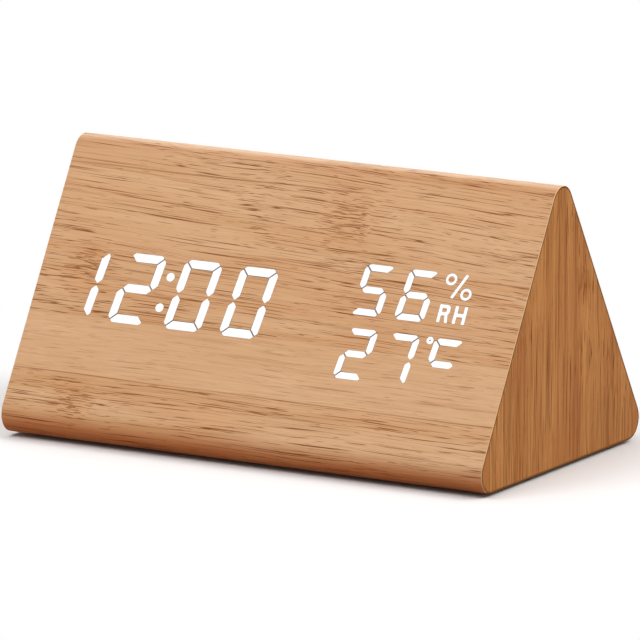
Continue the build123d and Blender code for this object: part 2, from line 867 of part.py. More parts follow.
# Three push buttons, each a cap with a flange under the plate, over a switch plunger
flange_underside = -button_seat - button_flange_thickness
switch_top = switch_height - board_depth
with BuildPart() as switch_bodies:
    with BuildSketch(control_plane.offset(-board_depth)):
        with Locations(*button_places):
            Rectangle(switch_size, switch_size)
    extrude(amount=switch_height)
    with BuildSketch(control_plane.offset(switch_top)):
        with Locations(*button_places):
            Circle(plunger_diameter / 2 + plunger_clearance)
    extrude(amount=-plunger_entry - button_travel - pocket_spare, mode=Mode.SUBTRACT)
switch_bodies.part.label = "switch_bodies"
export_step(switch_bodies.part, "parts/switch_bodies.step")

for name, place in zip(button_names, button_places):
    with BuildPart() as button:
        with BuildSketch(control_plane.offset(flange_underside)):
            with Locations(place):
                Circle(button_flange_diameter / 2)
        extrude(amount=button_flange_thickness)
        with BuildSketch(control_plane.offset(-button_seat)):
            with Locations(place):
                Circle(button_diameter / 2)
        extrude(amount=button_seat + plate_thickness + button_rise)
        fillet(button.edges().group_by(Axis(plate_plane.origin, plate_plane.z_dir))[-1], button_edge)
    button.part.label = f"{name}_button"
    export_step(button.part, f"parts/{name}_button.step")

    with BuildPart() as plunger:
        with BuildSketch(control_plane.offset(flange_underside)):
            with Locations(place):
                Circle(plunger_diameter / 2)
        extrude(amount=switch_top - plunger_entry - flange_underside)
    plunger.part.label = f"{name}_plunger"
    export_step(plunger.part, f"parts/{name}_plunger.step")

# Power jack: a square moulding with a round bore and a centre pin
with BuildPart() as power_jack:
    with BuildSketch(control_plane.offset(-jack_seat)):
        with Locations(jack_place):
            Rectangle(jack_size, jack_size)
    extrude(amount=-jack_length)
    with BuildSketch(control_plane.offset(-jack_seat)):
        with Locations(jack_place):
            Circle(jack_bore_diameter / 2)
    extrude(amount=-jack_bore_depth, mode=Mode.SUBTRACT)
power_jack.part.label = "power_jack"
export_step(power_jack.part, "parts/power_jack.step")

with BuildPart() as jack_pin:
    with BuildSketch(control_plane.offset(-jack_seat - jack_bore_depth)):
        with Locations(jack_place):
            Circle(jack_pin_diameter / 2)
    extrude(amount=jack_bore_depth - jack_pin_recess)
jack_pin.part.label = "jack_pin"
export_step(jack_pin.part, "parts/jack_pin.step")

# Microphone and climate sensor on the outer side of the control board
with BuildPart() as microphone:
    with BuildSketch(control_plane.offset(-board_depth)):
        with Locations(sound_place):
            Circle(microphone_diameter / 2)
    extrude(amount=microphone_height)
microphone.part.label = "microphone"
export_step(microphone.part, "parts/microphone.step")

with BuildPart() as climate_sensor:
    with BuildSketch(control_plane.offset(-board_depth)):
        with Locations(vent_place):
            Rectangle(sensor_length, sensor_width)
    extrude(amount=sensor_height)
climate_sensor.part.label = "climate_sensor"
export_step(climate_sensor.part, "parts/climate_sensor.step")

# Microcontroller, crystal, buzzer and backup cell on the inner side of the control board
with BuildPart() as microcontroller:
    with BuildSketch(control_back):
        with Locations(controller_place):
            Rectangle(controller_length, controller_width)
    extrude(amount=-controller_height)
    with BuildSketch(control_back):
        with Locations(controller_place):
            with GridLocations(chip_lead_pitch, controller_width, controller_lead_count, 2):
                Rectangle(chip_lead_width, 2 * chip_lead_reach)
    extrude(amount=-chip_lead_thickness)
microcontroller.part.label = "microcontroller"
export_step(microcontroller.part, "parts/microcontroller.step")

with BuildPart() as clock_crystal:
    with BuildSketch(control_back):
        with Locations(crystal_place):
            SlotOverall(crystal_length, crystal_width)
    extrude(amount=-crystal_height)
clock_crystal.part.label = "clock_crystal"
export_step(clock_crystal.part, "parts/clock_crystal.step")

with BuildPart() as buzzer:
    with BuildSketch(control_back):
        with Locations(buzzer_place):
            Circle(buzzer_diameter / 2)
    extrude(amount=-buzzer_height)
    with BuildSketch(control_back.offset(-buzzer_height)):
        with Locations(buzzer_place):
            Circle(buzzer_hole_diameter / 2)
    extrude(amount=buzzer_hole_depth, mode=Mode.SUBTRACT)
buzzer.part.label = "buzzer"
export_step(buzzer.part, "parts/buzzer.step")

with BuildPart() as cell_holder:
    with BuildSketch(control_back):
        with Locations(coin_place):
            Circle(coin_holder_radius)
    extrude(amount=-holder_floor - coin_thickness + holder_lip)
    with BuildSketch(control_back.offset(-holder_floor)):
        with Locations(coin_place):
            Circle(coin_diameter / 2 + coin_fit)
    extrude(amount=-coin_thickness, mode=Mode.SUBTRACT)
cell_holder.part.label = "cell_holder"
export_step(cell_holder.part, "parts/cell_holder.step")

with BuildPart() as backup_cell:
    with BuildSketch(control_back.offset(-holder_floor)):
        with Locations(coin_place):
            Circle(coin_diameter / 2)
    extrude(amount=-coin_thickness)
backup_cell.part.label = "backup_cell"
export_step(backup_cell.part, "parts/backup_cell.step")

# Ribbon cable from the display board to the control board, with a socket at each end
ribbon_u = -control_x - socket_place[0]
display_socket_place = (ribbon_u, display_socket_v)
with BuildPart() as ribbon_sockets:
    with BuildSketch(display_back):
        with Locations(display_socket_place):
            Rectangle(socket_length, socket_width)
    extrude(amount=-socket_height)
    with BuildSketch(control_back):
        with Locations(socket_place):
            Rectangle(socket_length, socket_width)
    extrude(amount=-socket_height)
ribbon_sockets.part.label = "ribbon_sockets"
export_step(ribbon_sockets.part, "parts/ribbon_sockets.step")


def in_section(plane, x, y, depth):
    """The (y, z) point at a place on a plane, at a depth inside it."""
    point = plane.from_local_coords((x, y, -depth))
    return point.Y, point.Z


ribbon_start = in_section(display_back, *display_socket_place, socket_height)
ribbon_end = in_section(control_back, *socket_place, socket_height)
ribbon_gap = math.dist(ribbon_start, ribbon_end)
ribbon_display_reach = socket_height + ribbon_display_share * ribbon_gap
ribbon_control_reach = socket_height + ribbon_control_share * ribbon_gap
with BuildPart() as display_ribbon:
    with BuildSketch(Plane.YZ.offset(ribbon_u - ribbon_width / 2)):
        with BuildLine():
            FilletPolyline(
                ribbon_start,
                in_section(display_back, *display_socket_place, ribbon_display_reach),
                in_section(control_back, *socket_place, ribbon_control_reach),
                ribbon_end,
                radius=ribbon_bend_share * ribbon_gap,
            )
        trace(line_width=ribbon_thickness)
    extrude(amount=ribbon_width)
display_ribbon.part.label = "display_ribbon"
export_step(display_ribbon.part, "parts/display_ribbon.step")

# Two battery leads from the bay's floor round to the control board
lead_end_x = room_side - lead_inset
lead_start_x = bay_x - control_x - bay_length / 2 + lead_start
lead_floor = -bay_depth - moulding_wall
with BuildPart() as battery_leads:
    for place in (-1, 1):
        lead_y = lead_row + place * lead_spacing / 2
        with BuildLine(control_plane):
            route = FilletPolyline(
                (lead_start_x, lead_y, lead_floor),
                (lead_start_x, lead_y, lead_floor - lead_rise),
                (lead_end_x, lead_y, lead_floor - lead_rise),
                (lead_end_x, lead_y, -board_depth - circuit_thickness),
                radius=lead_bend,
            )
        with BuildSketch(Plane(origin=route @ 0, z_dir=route % 0)):
            Circle(lead_diameter / 2)
        sweep(path=route)
battery_leads.part.label = "battery_leads"
export_step(battery_leads.part, "parts/battery_leads.step")

# Four rubber feet under the base
with BuildPart() as rubber_feet:
    with BuildSketch(Plane.XY):
        with GridLocations(length - 2 * foot_end_inset, prism_base - 2 * foot_side_inset, 2, 2):
            Circle(foot_diameter / 2)
    extrude(amount=foot_height)
    chamfer(rubber_feet.edges().group_by(Axis.Z)[0], foot_edge)
rubber_feet.part.label = "rubber_feet"
export_step(rubber_feet.part, "parts/rubber_feet.step")
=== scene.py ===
import json
import math

import bmesh
import bpy
from mathutils import Matrix, Vector
from mathutils.geometry import tessellate_polygon


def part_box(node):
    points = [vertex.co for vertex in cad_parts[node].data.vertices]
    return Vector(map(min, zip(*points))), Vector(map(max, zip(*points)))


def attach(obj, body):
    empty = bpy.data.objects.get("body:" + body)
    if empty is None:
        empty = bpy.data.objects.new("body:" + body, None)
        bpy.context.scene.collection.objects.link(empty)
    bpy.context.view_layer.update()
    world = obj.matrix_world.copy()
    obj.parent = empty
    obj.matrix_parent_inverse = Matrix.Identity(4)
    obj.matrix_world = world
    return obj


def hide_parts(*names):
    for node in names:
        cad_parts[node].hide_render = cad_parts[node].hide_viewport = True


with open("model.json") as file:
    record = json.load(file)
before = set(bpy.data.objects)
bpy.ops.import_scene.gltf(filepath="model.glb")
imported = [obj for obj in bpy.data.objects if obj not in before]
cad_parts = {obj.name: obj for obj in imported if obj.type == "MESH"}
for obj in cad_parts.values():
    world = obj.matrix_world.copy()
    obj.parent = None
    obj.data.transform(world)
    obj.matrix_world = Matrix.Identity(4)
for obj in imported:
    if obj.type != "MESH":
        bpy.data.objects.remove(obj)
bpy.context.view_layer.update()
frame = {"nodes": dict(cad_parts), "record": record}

# A triangular desk clock in bamboo film with lit digits. Lengths are in millimetres and become
# metres where a mesh is made. X runs along the clock, the display looks towards -Y and up.
MM = 0.001

# Case
prism_base = 94.5
face_slope = 60.0  # degrees, so that all three corners of the section are alike
corner_radius = 5.5
film_thickness = 0.5
corner_steps = 16  # facets round each corner of the wrap
edge_bevel = 0.14  # of the wrap's cut ends
corner_support = 0.4  # flat strip beside a corner, which keeps the big faces shaded flat
sharp_angle = 30.0  # degrees between faces that meet in a hard edge
rear_window_length = 104.3
rear_window_height = 38.3
overrun = 1.0  # that a cutter stands past the film

# Which of the wrap's end faces take a painted highlight and which a painted shade, by the parts of their
# normals
square_normal = 0.9  # along the clock: beyond it the end is cut square
lit_normal = 0.15  # towards the back: beyond it the end is in the shade
under_normal = -0.62  # upwards: below it the end is under the case

# Rear plate, measured on the back face from the plate's middle: x as seen from behind, y up the slope
plate_v = 38.0  # up the back face to the middle of the rear plate
plate_thickness = 1.6
control_x = -26.55  # middle of the control room
button_pitch = 12.5
legend_y = 14.4
legend_height = 2.9  # of capital letters
arrow_half = 1.5
ink_height = 0.03
capital_share = 0.7  # of a font's size that its capitals stand high
weld = 1e-6  # metres between points of a letter that are one
screw_sizes = {
    "Spacing Across": 110.3,
    "Spacing Up": 24.0,
    "Head Radius": 1.95,
    "Shank Radius": 1.0,
    "Cone Height": 0.95,
    "Length": 5.6,
    "Recess Length": 2.3,
    "Recess Width": 0.54,
    "Recess Depth": 0.7,
}
screw_facets = 40
screw_seed = 3
# Painted shade fills the screws' crossed recesses between these heights
recess_shade = (-0.3, -0.02)  # heights in the recess where it is quite dark and where it turns dark
scuff_size = (0.6, 0.12)
screw_roughness = (0.32, 0.5)  # between scuffs and in them

# Display, measured on the front face: u along the case, v up the slope
digit_slant = 5.2  # degrees
bar_gap = 0.38  # square to the joint of two bars
corner_cut_share = 0.7  # of the stroke
outer_rounding = 0.8
joint_rounding = 0.18
tip_rounding = 0.3
side_share = 0.48  # of a side that one corner's rounding may take
bar_depth = 6.8
rim_width = 0.05  # of light box seen beside a bar
rim_reach_share = 0.44  # of the gap where two bars meet: leaning narrows some joints by 5 %
joint_reach = 0.55  # bars nearer than this meet
rim_sink = 0.02
rim_depth = 0.4
arc_steps = 5
ring_steps = 40
hole_steps = 24
time_digit = dict(width=9.44, height=17.7, stroke=2.4)
small_digit = dict(width=7.3, height=12.55, stroke=1.86)
time_first_u = -60.9
time_pitch = 17.655
time_v = 46.4
humidity_first_u = 28.5
humidity_pitch = 13.5
humidity_v = 53.95
temperature_first_u = 28.395
temperature_pitch = 12.9
temperature_v = 35.75
unit_u = 54.895
colon_place_share = 1.5  # of the pitch, from the first digit
colon_diameter = 2.5
colon_rise = 4.45
degree_place = (49.495, 42.05)
degree_diameter = 2.1
degree_hole = 0.45
percent_rings = ((51.05, 59.55), (56.5, 55.8))
percent_ring_radius = 1.68
percent_stroke = 0.74
percent_slash = ((55.6, 61.2), (52.4, 54.4))
slash_stroke = 0.85
letter_places = {"R": 49.75, "H": 54.5}
letter_v = 47.35
letter_height = 5.05
letter_widths = {"R": 3.35, "H": 3.75}
letter_stroke = 0.96
letter_rounding = 0.22
sharp_rounding = 0.05
bowl_rounding = 1.0
bowl_share = 0.4  # of the letter's height, up to the underside of an R's bowl
# In strokes: how far in the two sides of an R's leg leave its bowl, and how much higher the outer one does
leg_shares = (1.35, 0.45, 0.2)
lit_bars = {"0": "abcdef", "1": "bc", "2": "abdeg", "5": "acdfg", "6": "acdefg", "7": "abc", "C": "afg"}

# Printed film. A size is a mark's length along the grain and its width. Edges are levels of a noise,
# or of a noise and its crowding, between which a mark comes in
strip_span = 96.0  # across all the strips, a little more than the slope
strip_sway = 45.0  # spacing of the wander in the strips' edges
strip_sway_share = 0.012  # of the span
seam_half = 0.2
grain_sway = (65.0, 2.8)  # spacing of the grain's wander and how far it goes
knot_sway = (9.0, 1.1)  # the same at a knot, which is a joint of the bamboo
knot_core_share = 0.15  # of a knot's reach that is marked in full
knot_blush = 0.35
lean_heights = (36.0, 60.0)  # up the slope, between which the grain's fall grows
lean_slopes = (0.004, 0.034)
noise_middle = 0.5
noise_edges = (0.3, 0.7)  # most of a noise lies between these
tone_size = (180.0, 7.0)
tone_reach = 0.2  # that a strip moves along the ramp of tones
blush_size = (50.0, 6.0)
blush_edges = (0.4, 0.65)
fibre_size = (18.0, 0.27)
fibre_edges = (0.25, 0.75)
fibre_shares = (0.72, 1.0, 1.45)  # of red, green and blue that a fibre takes or gives: dark ones are redder
patch_size = (60.0, 4.0)
patch_reach = 0.03
crowd_reach = 0.08
hairline_size = (110.0, 0.42)
hairline_levels = (0.01, 0.045)  # from the noise's middle, where a line is full and where it ends
spell_size = (34.0, 0.7)
spell_edges = (0.52, 0.63)
streak_size = (44.0, 0.24)
streak_edges = (0.725, 0.77)
fleck_size = (5.5, 0.27)
fleck_edges = (0.7, 0.74)
fleck_crowd = 0.16
fleck_dark = 0.62
seam_edges = (-0.02, 0.02)
seam_dark = 0.5
full_crowding = 0.6  # at which marks are at their boldest
least_boldness = 0.33
dent_share = -1.4  # of a mark, against the height of a fibre
dent_depth = 0.05
film_roughness = (0.5, 0.85)  # of the print and of its marks
film_shine = 0.2

# Painted light at the folds: painted shade beside the upper fold's crest, a painted highlight on the crest
# and painted shade along the lower folds. Each runs from and to a height up the slope, with its share at each
# and how it fades between them
fold_light = {
    "upper_fold_shade": (84.5, 86.5, 0.0, 1.0, "SMOOTHSTEP"),
    "crest": (87.5, 89.2, 1.0, 0.2, "LINEAR"),
    "crest_highlight": (87.4, 89.2, 0.0, 0.26, "SMOOTHSTEP"),
    "lower_fold_shade": (2.5, 9.5, 1.0, 0.0, "SMOOTHSTEP"),
}
# Colours of the painted shade beside the upper crest, of the painted highlight on the crest and of the
# painted shade along the lower folds
upper_shade_tint = "EDE8E7"
crest_highlight_tint = "F4E2CA"
lower_shade_tint = "FFAF5B"

# Plain finishes
blotch_size = 12.0
casting_size = 3.0

# Studio, in metres and watts
floor_half = 2.5
floor_white = 0.92  # as it is seen
floor_bounce = 0.3  # as it lights the clock
fade_start = 0.085  # from the clock's middle: there the floor begins to turn to plain white
fade_end = 0.2
ambient = 0.35
lamp_aim = (0, 0, 0.04)
lamps = {
    "key_softbox": dict(place=(-0.3, -0.72, 1.0), width=0.9, height=0.7, power=8.15),
    "top_softbox": dict(place=(-0.35, 0.7, 0.85), width=1.2, height=0.9, power=2.6),
    "fill_softbox": dict(place=(0.9, 0.1, 1.0), width=0.8, height=0.8, power=9.1),
}

# Camera at the photograph's angle
azimuth = math.radians(30.651)
elevation = math.radians(11.876)
distance = 2438.24
focus_height = 35.0
shift_right = 0.015
shift_up = -2.042
lens = 506.63
sensor = 36.0

# Sizes and places that follow
rise_share = math.sin(math.radians(face_slope))
run_share = math.cos(math.radians(face_slope))
half_corner = math.radians(face_slope / 2)
lean_share = math.tan(math.radians(digit_slant))
rim_reach = rim_reach_share * bar_gap
wrap_low, wrap_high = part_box("wood_grain_wrap")
half_length = wrap_high.x / MM
base_height = wrap_low.z / MM
prism_height = prism_base / 2 * math.tan(math.radians(face_slope))


def face_matrix(side):
    """Metres on a sloping face: x across as seen from outside, y up the slope, z outwards."""
    across = Vector((-side, 0, 0))
    up = Vector((0, -side * run_share, rise_share))
    out = across.cross(up)
    origin = Vector((0, side * prism_base / 2, base_height)) * MM
    return Matrix.Translation(origin) @ Matrix((across, up, out)).transposed().to_4x4()


front_face = face_matrix(-1)
back_face = face_matrix(1)
plate_top = back_face @ Matrix.Translation((0, plate_v * MM, plate_thickness * MM))


# Colours and nodes


def colour(code):
    """Linear colour of an sRGB hex code, with full alpha."""
    values = [int(code[i : i + 2], 16) / 255 for i in (0, 2, 4)]
    linear = [v / 12.92 if v <= 0.04045 else ((v + 0.055) / 1.055) ** 2.4 for v in values]
    return (*linear, 1.0)


def add(tree, kind, inputs=None, **settings):
    """Add a node with its settings, and set its inputs or link them to other nodes' outputs. Sockets go
    by name, or by number where names repeat: in Map Range 1 to 4 are the range read and the range given,
    in Mix 0, 6 and 7 are the factor and two colours, and output 2 is the mixed colour."""
    made = tree.nodes.new(kind)
    for key, value in settings.items():
        setattr(made, key, value)
    for key, value in (inputs or {}).items():
        if isinstance(value, bpy.types.NodeSocket):
            tree.links.new(value, made.inputs[key])
        else:
            made.inputs[key].default_value = value
    return made


def start_finish(name):
    """A new material with an empty shader: the material, its tree and its shader node."""
    material = bpy.data.materials.new(name)
    material.use_nodes = True
    tree = material.node_tree
    return material, tree, tree.nodes["Principled BSDF"]


def ramp_stops(node, stops):
    """Set a colour ramp's stops from pairs of a position and a colour."""
    ramp = node.color_ramp
    while len(ramp.elements) < len(stops):
        ramp.elements.new(0.5)
    for element, (position, shade) in zip(ramp.elements, stops):
        element.position = position
        element.color = shade


def strongest(tree, masks):
    """The highest of several values at each point."""
    highest = masks[0]
    for mask in masks[1:]:
        highest = add(tree, "ShaderNodeMath", {0: highest, 1: mask}, operation="MAXIMUM").outputs[0]
    return highest


# Printed bamboo film


def grain_noise(tree, vector, size, detail, roughness=0.5):
    """Noise drawn out along the grain, with features of a size."""
    long, wide = size
    scaled = add(
        tree,
        "ShaderNodeVectorMath",
        {0: vector, 1: (1 / (long * MM), 1 / (wide * MM), 1 / (wide * MM))},
        operation="MULTIPLY",
    )
    noise = add(
        tree,
        "ShaderNodeTexNoise",
        {"Vector": scaled.outputs[0], "Scale": 1.0, "Detail": detail, "Roughness": roughness},
    )
    return noise.outputs["Fac"]


def streaks(tree, grain, size, crowd, edges, dark):
    """Thin dark marks along the grain, as a mask from 0 to dark. Where crowd is high there are more."""
    marks = grain_noise(tree, grain, size, detail=0.6)
    lifted = add(tree, "ShaderNodeMath", {0: marks, 1: crowd}, operation="ADD").outputs[0]
    return add(
        tree, "ShaderNodeMapRange", {"Value": lifted, 1: edges[0], 2: edges[1], 3: 0.0, 4: dark}
    ).outputs[0]


def hairlines(tree, grain, crowd, dark):
    """Fine dark lines along the grain, as a mask from 0 to dark: level lines of a noise, broken into
    spells where a second noise and crowd together are high."""
    level = grain_noise(tree, grain, hairline_size, detail=0.4)
    off = add(tree, "ShaderNodeMath", {0: level, 1: noise_middle}, operation="SUBTRACT").outputs[0]
    off = add(tree, "ShaderNodeMath", {0: off}, operation="ABSOLUTE").outputs[0]
    full, end = hairline_levels
    line = add(tree, "ShaderNodeMapRange", {"Value": off, 1: full, 2: end, 3: dark, 4: 0.0}).outputs[0]
    spells = streaks(tree, grain, spell_size, crowd, spell_edges, 1.0)
    return add(tree, "ShaderNodeMath", {0: line, 1: spells}, operation="MULTIPLY").outputs[0]


def knot_nearness(tree, place, knots, axes):
    """How near a point is to a knot, from 0 to 1. Each knot is a centre and its half sizes along the grain
    and across it."""
    nearness = []
    for centre, half_long, half_wide in knots:
        away = add(
            tree, "ShaderNodeVectorMath", {0: place, 1: [c * MM for c in centre]}, operation="SUBTRACT"
        ).outputs[0]
        local = [
            add(
                tree,
                "ShaderNodeVectorMath",
                {0: away, 1: [part / (half * MM) for part in axis]},
                operation="DOT_PRODUCT",
            ).outputs["Value"]
            for axis, half in zip(axes, (half_long, half_wide, half_wide))
        ]
        joined = add(tree, "ShaderNodeCombineXYZ", dict(enumerate(local))).outputs[0]
        reach = add(tree, "ShaderNodeVectorMath", {0: joined}, operation="LENGTH").outputs["Value"]
        near = add(
            tree,
            "ShaderNodeMapRange",
            {"Value": reach, 1: knot_core_share, 2: 1.0, 3: 1.0, 4: 0.0},
            interpolation_type="SMOOTHSTEP",
        )
        nearness.append(near.outputs[0])
    return strongest(tree, nearness)


def wandering_grain(tree, place, turn, knot):
    """Places turned to the grain, which wanders along its length and swirls at the knots."""
    grain = add(
        tree, "ShaderNodeMapping", {"Vector": place, "Rotation": [math.radians(a) for a in turn]}
    ).outputs["Vector"]
    for (spacing, sway), share in ((grain_sway, 1.0), (knot_sway, knot)):
        noise = add(tree, "ShaderNodeTexNoise", {"Vector": grain, "Scale": 1 / (spacing * MM), "Detail": 1.0})
        drift = add(
            tree,
            "ShaderNodeVectorMath",
            {0: noise.outputs["Color"], 1: [noise_middle] * 3},
            operation="SUBTRACT",
        ).outputs[0]
        drift = add(
            tree, "ShaderNodeVectorMath", {0: drift, 1: (0, sway * MM, sway * MM)}, operation="MULTIPLY"
        ).outputs[0]
        drift = add(tree, "ShaderNodeVectorMath", {0: drift, "Scale": share}, operation="SCALE").outputs[0]
        grain = add(tree, "ShaderNodeVectorMath", {0: grain, 1: drift}, operation="ADD").outputs[0]
    return grain


def place_across(tree, place, axis, start, folded):
    """How far across the strips a point is, as a share of their span. A folded film has the same strips
    up both of its slopes."""
    if folded:
        seen = add(tree, "ShaderNodeVectorMath", {0: place}, operation="ABSOLUTE").outputs[0]
    else:
        seen = place
    across = add(
        tree,
        "ShaderNodeVectorMath",
        {0: seen, 1: [part / (strip_span * MM) for part in axis]},
        operation="DOT_PRODUCT",
    ).outputs["Value"]
    sway = grain_noise(tree, place, (strip_sway, strip_sway), detail=1)
    across = add(
        tree, "ShaderNodeMath", {0: sway, 1: strip_sway_share, 2: across}, operation="MULTIPLY_ADD"
    ).outputs[0]
    begun = start / strip_span - strip_sway_share * noise_middle
    return add(tree, "ShaderNodeMath", {0: across, 1: begun}, operation="ADD").outputs[0]


def strip_looks(tree, across, strips):
    """Crowding with marks, warmth and tone of the strips side by side, and a mask of their seams. Each
    strip is its first edge and those three looks."""
    look = add(tree, "ShaderNodeValToRGB", {"Fac": across})
    look.color_ramp.interpolation = "CONSTANT"
    ramp_stops(look, [(edge / strip_span, (*looks, 1.0)) for edge, *looks in strips])
    parts = add(tree, "ShaderNodeSeparateColor", {"Color": look.outputs["Color"]}).outputs
    seams = [
        add(
            tree,
            "ShaderNodeMath",
            {0: across, 1: edge / strip_span, 2: seam_half / strip_span},
            operation="COMPARE",
        ).outputs[0]
        for edge, *_ in strips[1:]
    ]
    return parts[0], parts[1], parts[2], strongest(tree, seams)


def leaning_grain(tree, place, grain, across):
    """Grain of the folded wrap, which falls towards the right end on both slopes, more so high up."""
    low, high = (height / strip_span for height in lean_heights)
    lean = add(
        tree,
        "ShaderNodeMapRange",
        {"Value": across, 1: low, 2: high, 3: lean_slopes[0], 4: lean_slopes[1]},
        interpolation_type="SMOOTHSTEP",
    ).outputs[0]
    x, y, _ = add(tree, "ShaderNodeSeparateXYZ", {0: place}).outputs
    fall = add(tree, "ShaderNodeMath", {0: x, 1: lean}, operation="MULTIPLY").outputs[0]
    side = add(tree, "ShaderNodeMath", {0: y}, operation="SIGN").outputs[0]
    inward = add(tree, "ShaderNodeMath", {0: side, 1: -run_share}, operation="MULTIPLY").outputs[0]
    slope_up = add(tree, "ShaderNodeCombineXYZ", {1: inward, 2: rise_share}).outputs[0]
    fall = add(tree, "ShaderNodeVectorMath", {0: slope_up, "Scale": fall}, operation="SCALE").outputs[0]
    return add(tree, "ShaderNodeVectorMath", {0: grain, 1: fall}, operation="ADD").outputs[0]


def ground_tone(tree, grain, knot, warmth, tone, tones, warm):
    """Ground colour of the print: a broad play of tones, blushing warm in some strips and at the knots."""
    broad = grain_noise(tree, grain, tone_size, detail=2)
    shifted = add(
        tree, "ShaderNodeMapRange", {"Value": tone, 1: 0.0, 2: 1.0, 3: -tone_reach, 4: tone_reach}
    ).outputs[0]
    broad = add(tree, "ShaderNodeMath", {0: broad, 1: shifted}, operation="ADD").outputs[0]
    ground = add(tree, "ShaderNodeValToRGB", {"Fac": broad})
    ramp_stops(ground, [(position, colour(code)) for position, code in tones])
    blush = grain_noise(tree, grain, blush_size, detail=1)
    low, high = blush_edges
    blush = add(tree, "ShaderNodeMapRange", {"Value": blush, 1: low, 2: high, 3: 0.0, 4: 1.0}).outputs[0]
    blush = add(tree, "ShaderNodeMath", {0: blush, 1: warmth}, operation="MULTIPLY").outputs[0]
    blush = add(
        tree, "ShaderNodeMath", {0: knot, 1: knot_blush, 2: blush}, operation="MULTIPLY_ADD"
    ).outputs[0]
    blush = add(tree, "ShaderNodeMath", {0: blush, 1: 1.0}, operation="MINIMUM").outputs[0]
    return add(
        tree, "ShaderNodeMix", {0: blush, 6: ground.outputs["Color"], 7: colour(warm)}, data_type="RGBA"
    ).outputs[2]


def grain_marks(tree, grain, knot, crowding, seam, dark):
    """Mask of all dark marks: hairlines and streaks, crowded in some strips and rare in others, short flecks
    at the knots, and broken lines along the seams."""
    patch = grain_noise(tree, grain, patch_size, detail=1)
    low, high = noise_edges
    patch = add(
        tree, "ShaderNodeMapRange", {"Value": patch, 1: low, 2: high, 3: -patch_reach, 4: patch_reach}
    ).outputs[0]
    crowd = add(
        tree, "ShaderNodeMath", {0: crowding, 1: crowd_reach, 2: patch}, operation="MULTIPLY_ADD"
    ).outputs[0]
    knot_crowd = add(tree, "ShaderNodeMath", {0: knot, 1: fleck_crowd}, operation="MULTIPLY").outputs[0]
    low, high = seam_edges
    broken = add(
        tree, "ShaderNodeMapRange", {"Value": patch, 1: low, 2: high, 3: 0.0, 4: seam_dark}
    ).outputs[0]
    marks = [
        hairlines(tree, grain, crowd, dark),
        streaks(tree, grain, streak_size, crowd, streak_edges, dark),
        streaks(tree, grain, fleck_size, knot_crowd, fleck_edges, fleck_dark),
        add(tree, "ShaderNodeMath", {0: broken, 1: seam}, operation="MULTIPLY").outputs[0],
    ]
    boldness = add(
        tree,
        "ShaderNodeMapRange",
        {"Value": strongest(tree, [crowding, knot]), 1: 0.0, 2: full_crowding, 3: least_boldness, 4: 1.0},
    ).outputs[0]
    return add(
        tree, "ShaderNodeMath", {0: strongest(tree, marks), 1: boldness}, operation="MULTIPLY"
    ).outputs[0]


def painted_fold_light(tree, printed, across):
    """Painted light where the film is folded: painted shade beside the upper fold's crest, a painted
    highlight on the crest itself, and painted shade along the lower folds."""
    masks = {
        painted_light: add(
            tree,
            "ShaderNodeMapRange",
            {"Value": across, 1: low / strip_span, 2: high / strip_span, 3: before, 4: after},
            interpolation_type=fade,
        ).outputs[0]
        for painted_light, (low, high, before, after, fade) in fold_light.items()
    }
    upper_fold_shade = add(
        tree, "ShaderNodeMath", {0: masks["upper_fold_shade"], 1: masks["crest"]}, operation="MULTIPLY"
    ).outputs[0]
    for mask, code, blend in (
        (upper_fold_shade, upper_shade_tint, "MULTIPLY"),
        (masks["crest_highlight"], crest_highlight_tint, "MIX"),
        (masks["lower_fold_shade"], lower_shade_tint, "MULTIPLY"),
    ):
        printed = add(
            tree,
            "ShaderNodeMix",
            {0: mask, 6: printed, 7: colour(code)},
            data_type="RGBA",
            blend_type=blend,
        ).outputs[2]
    return printed


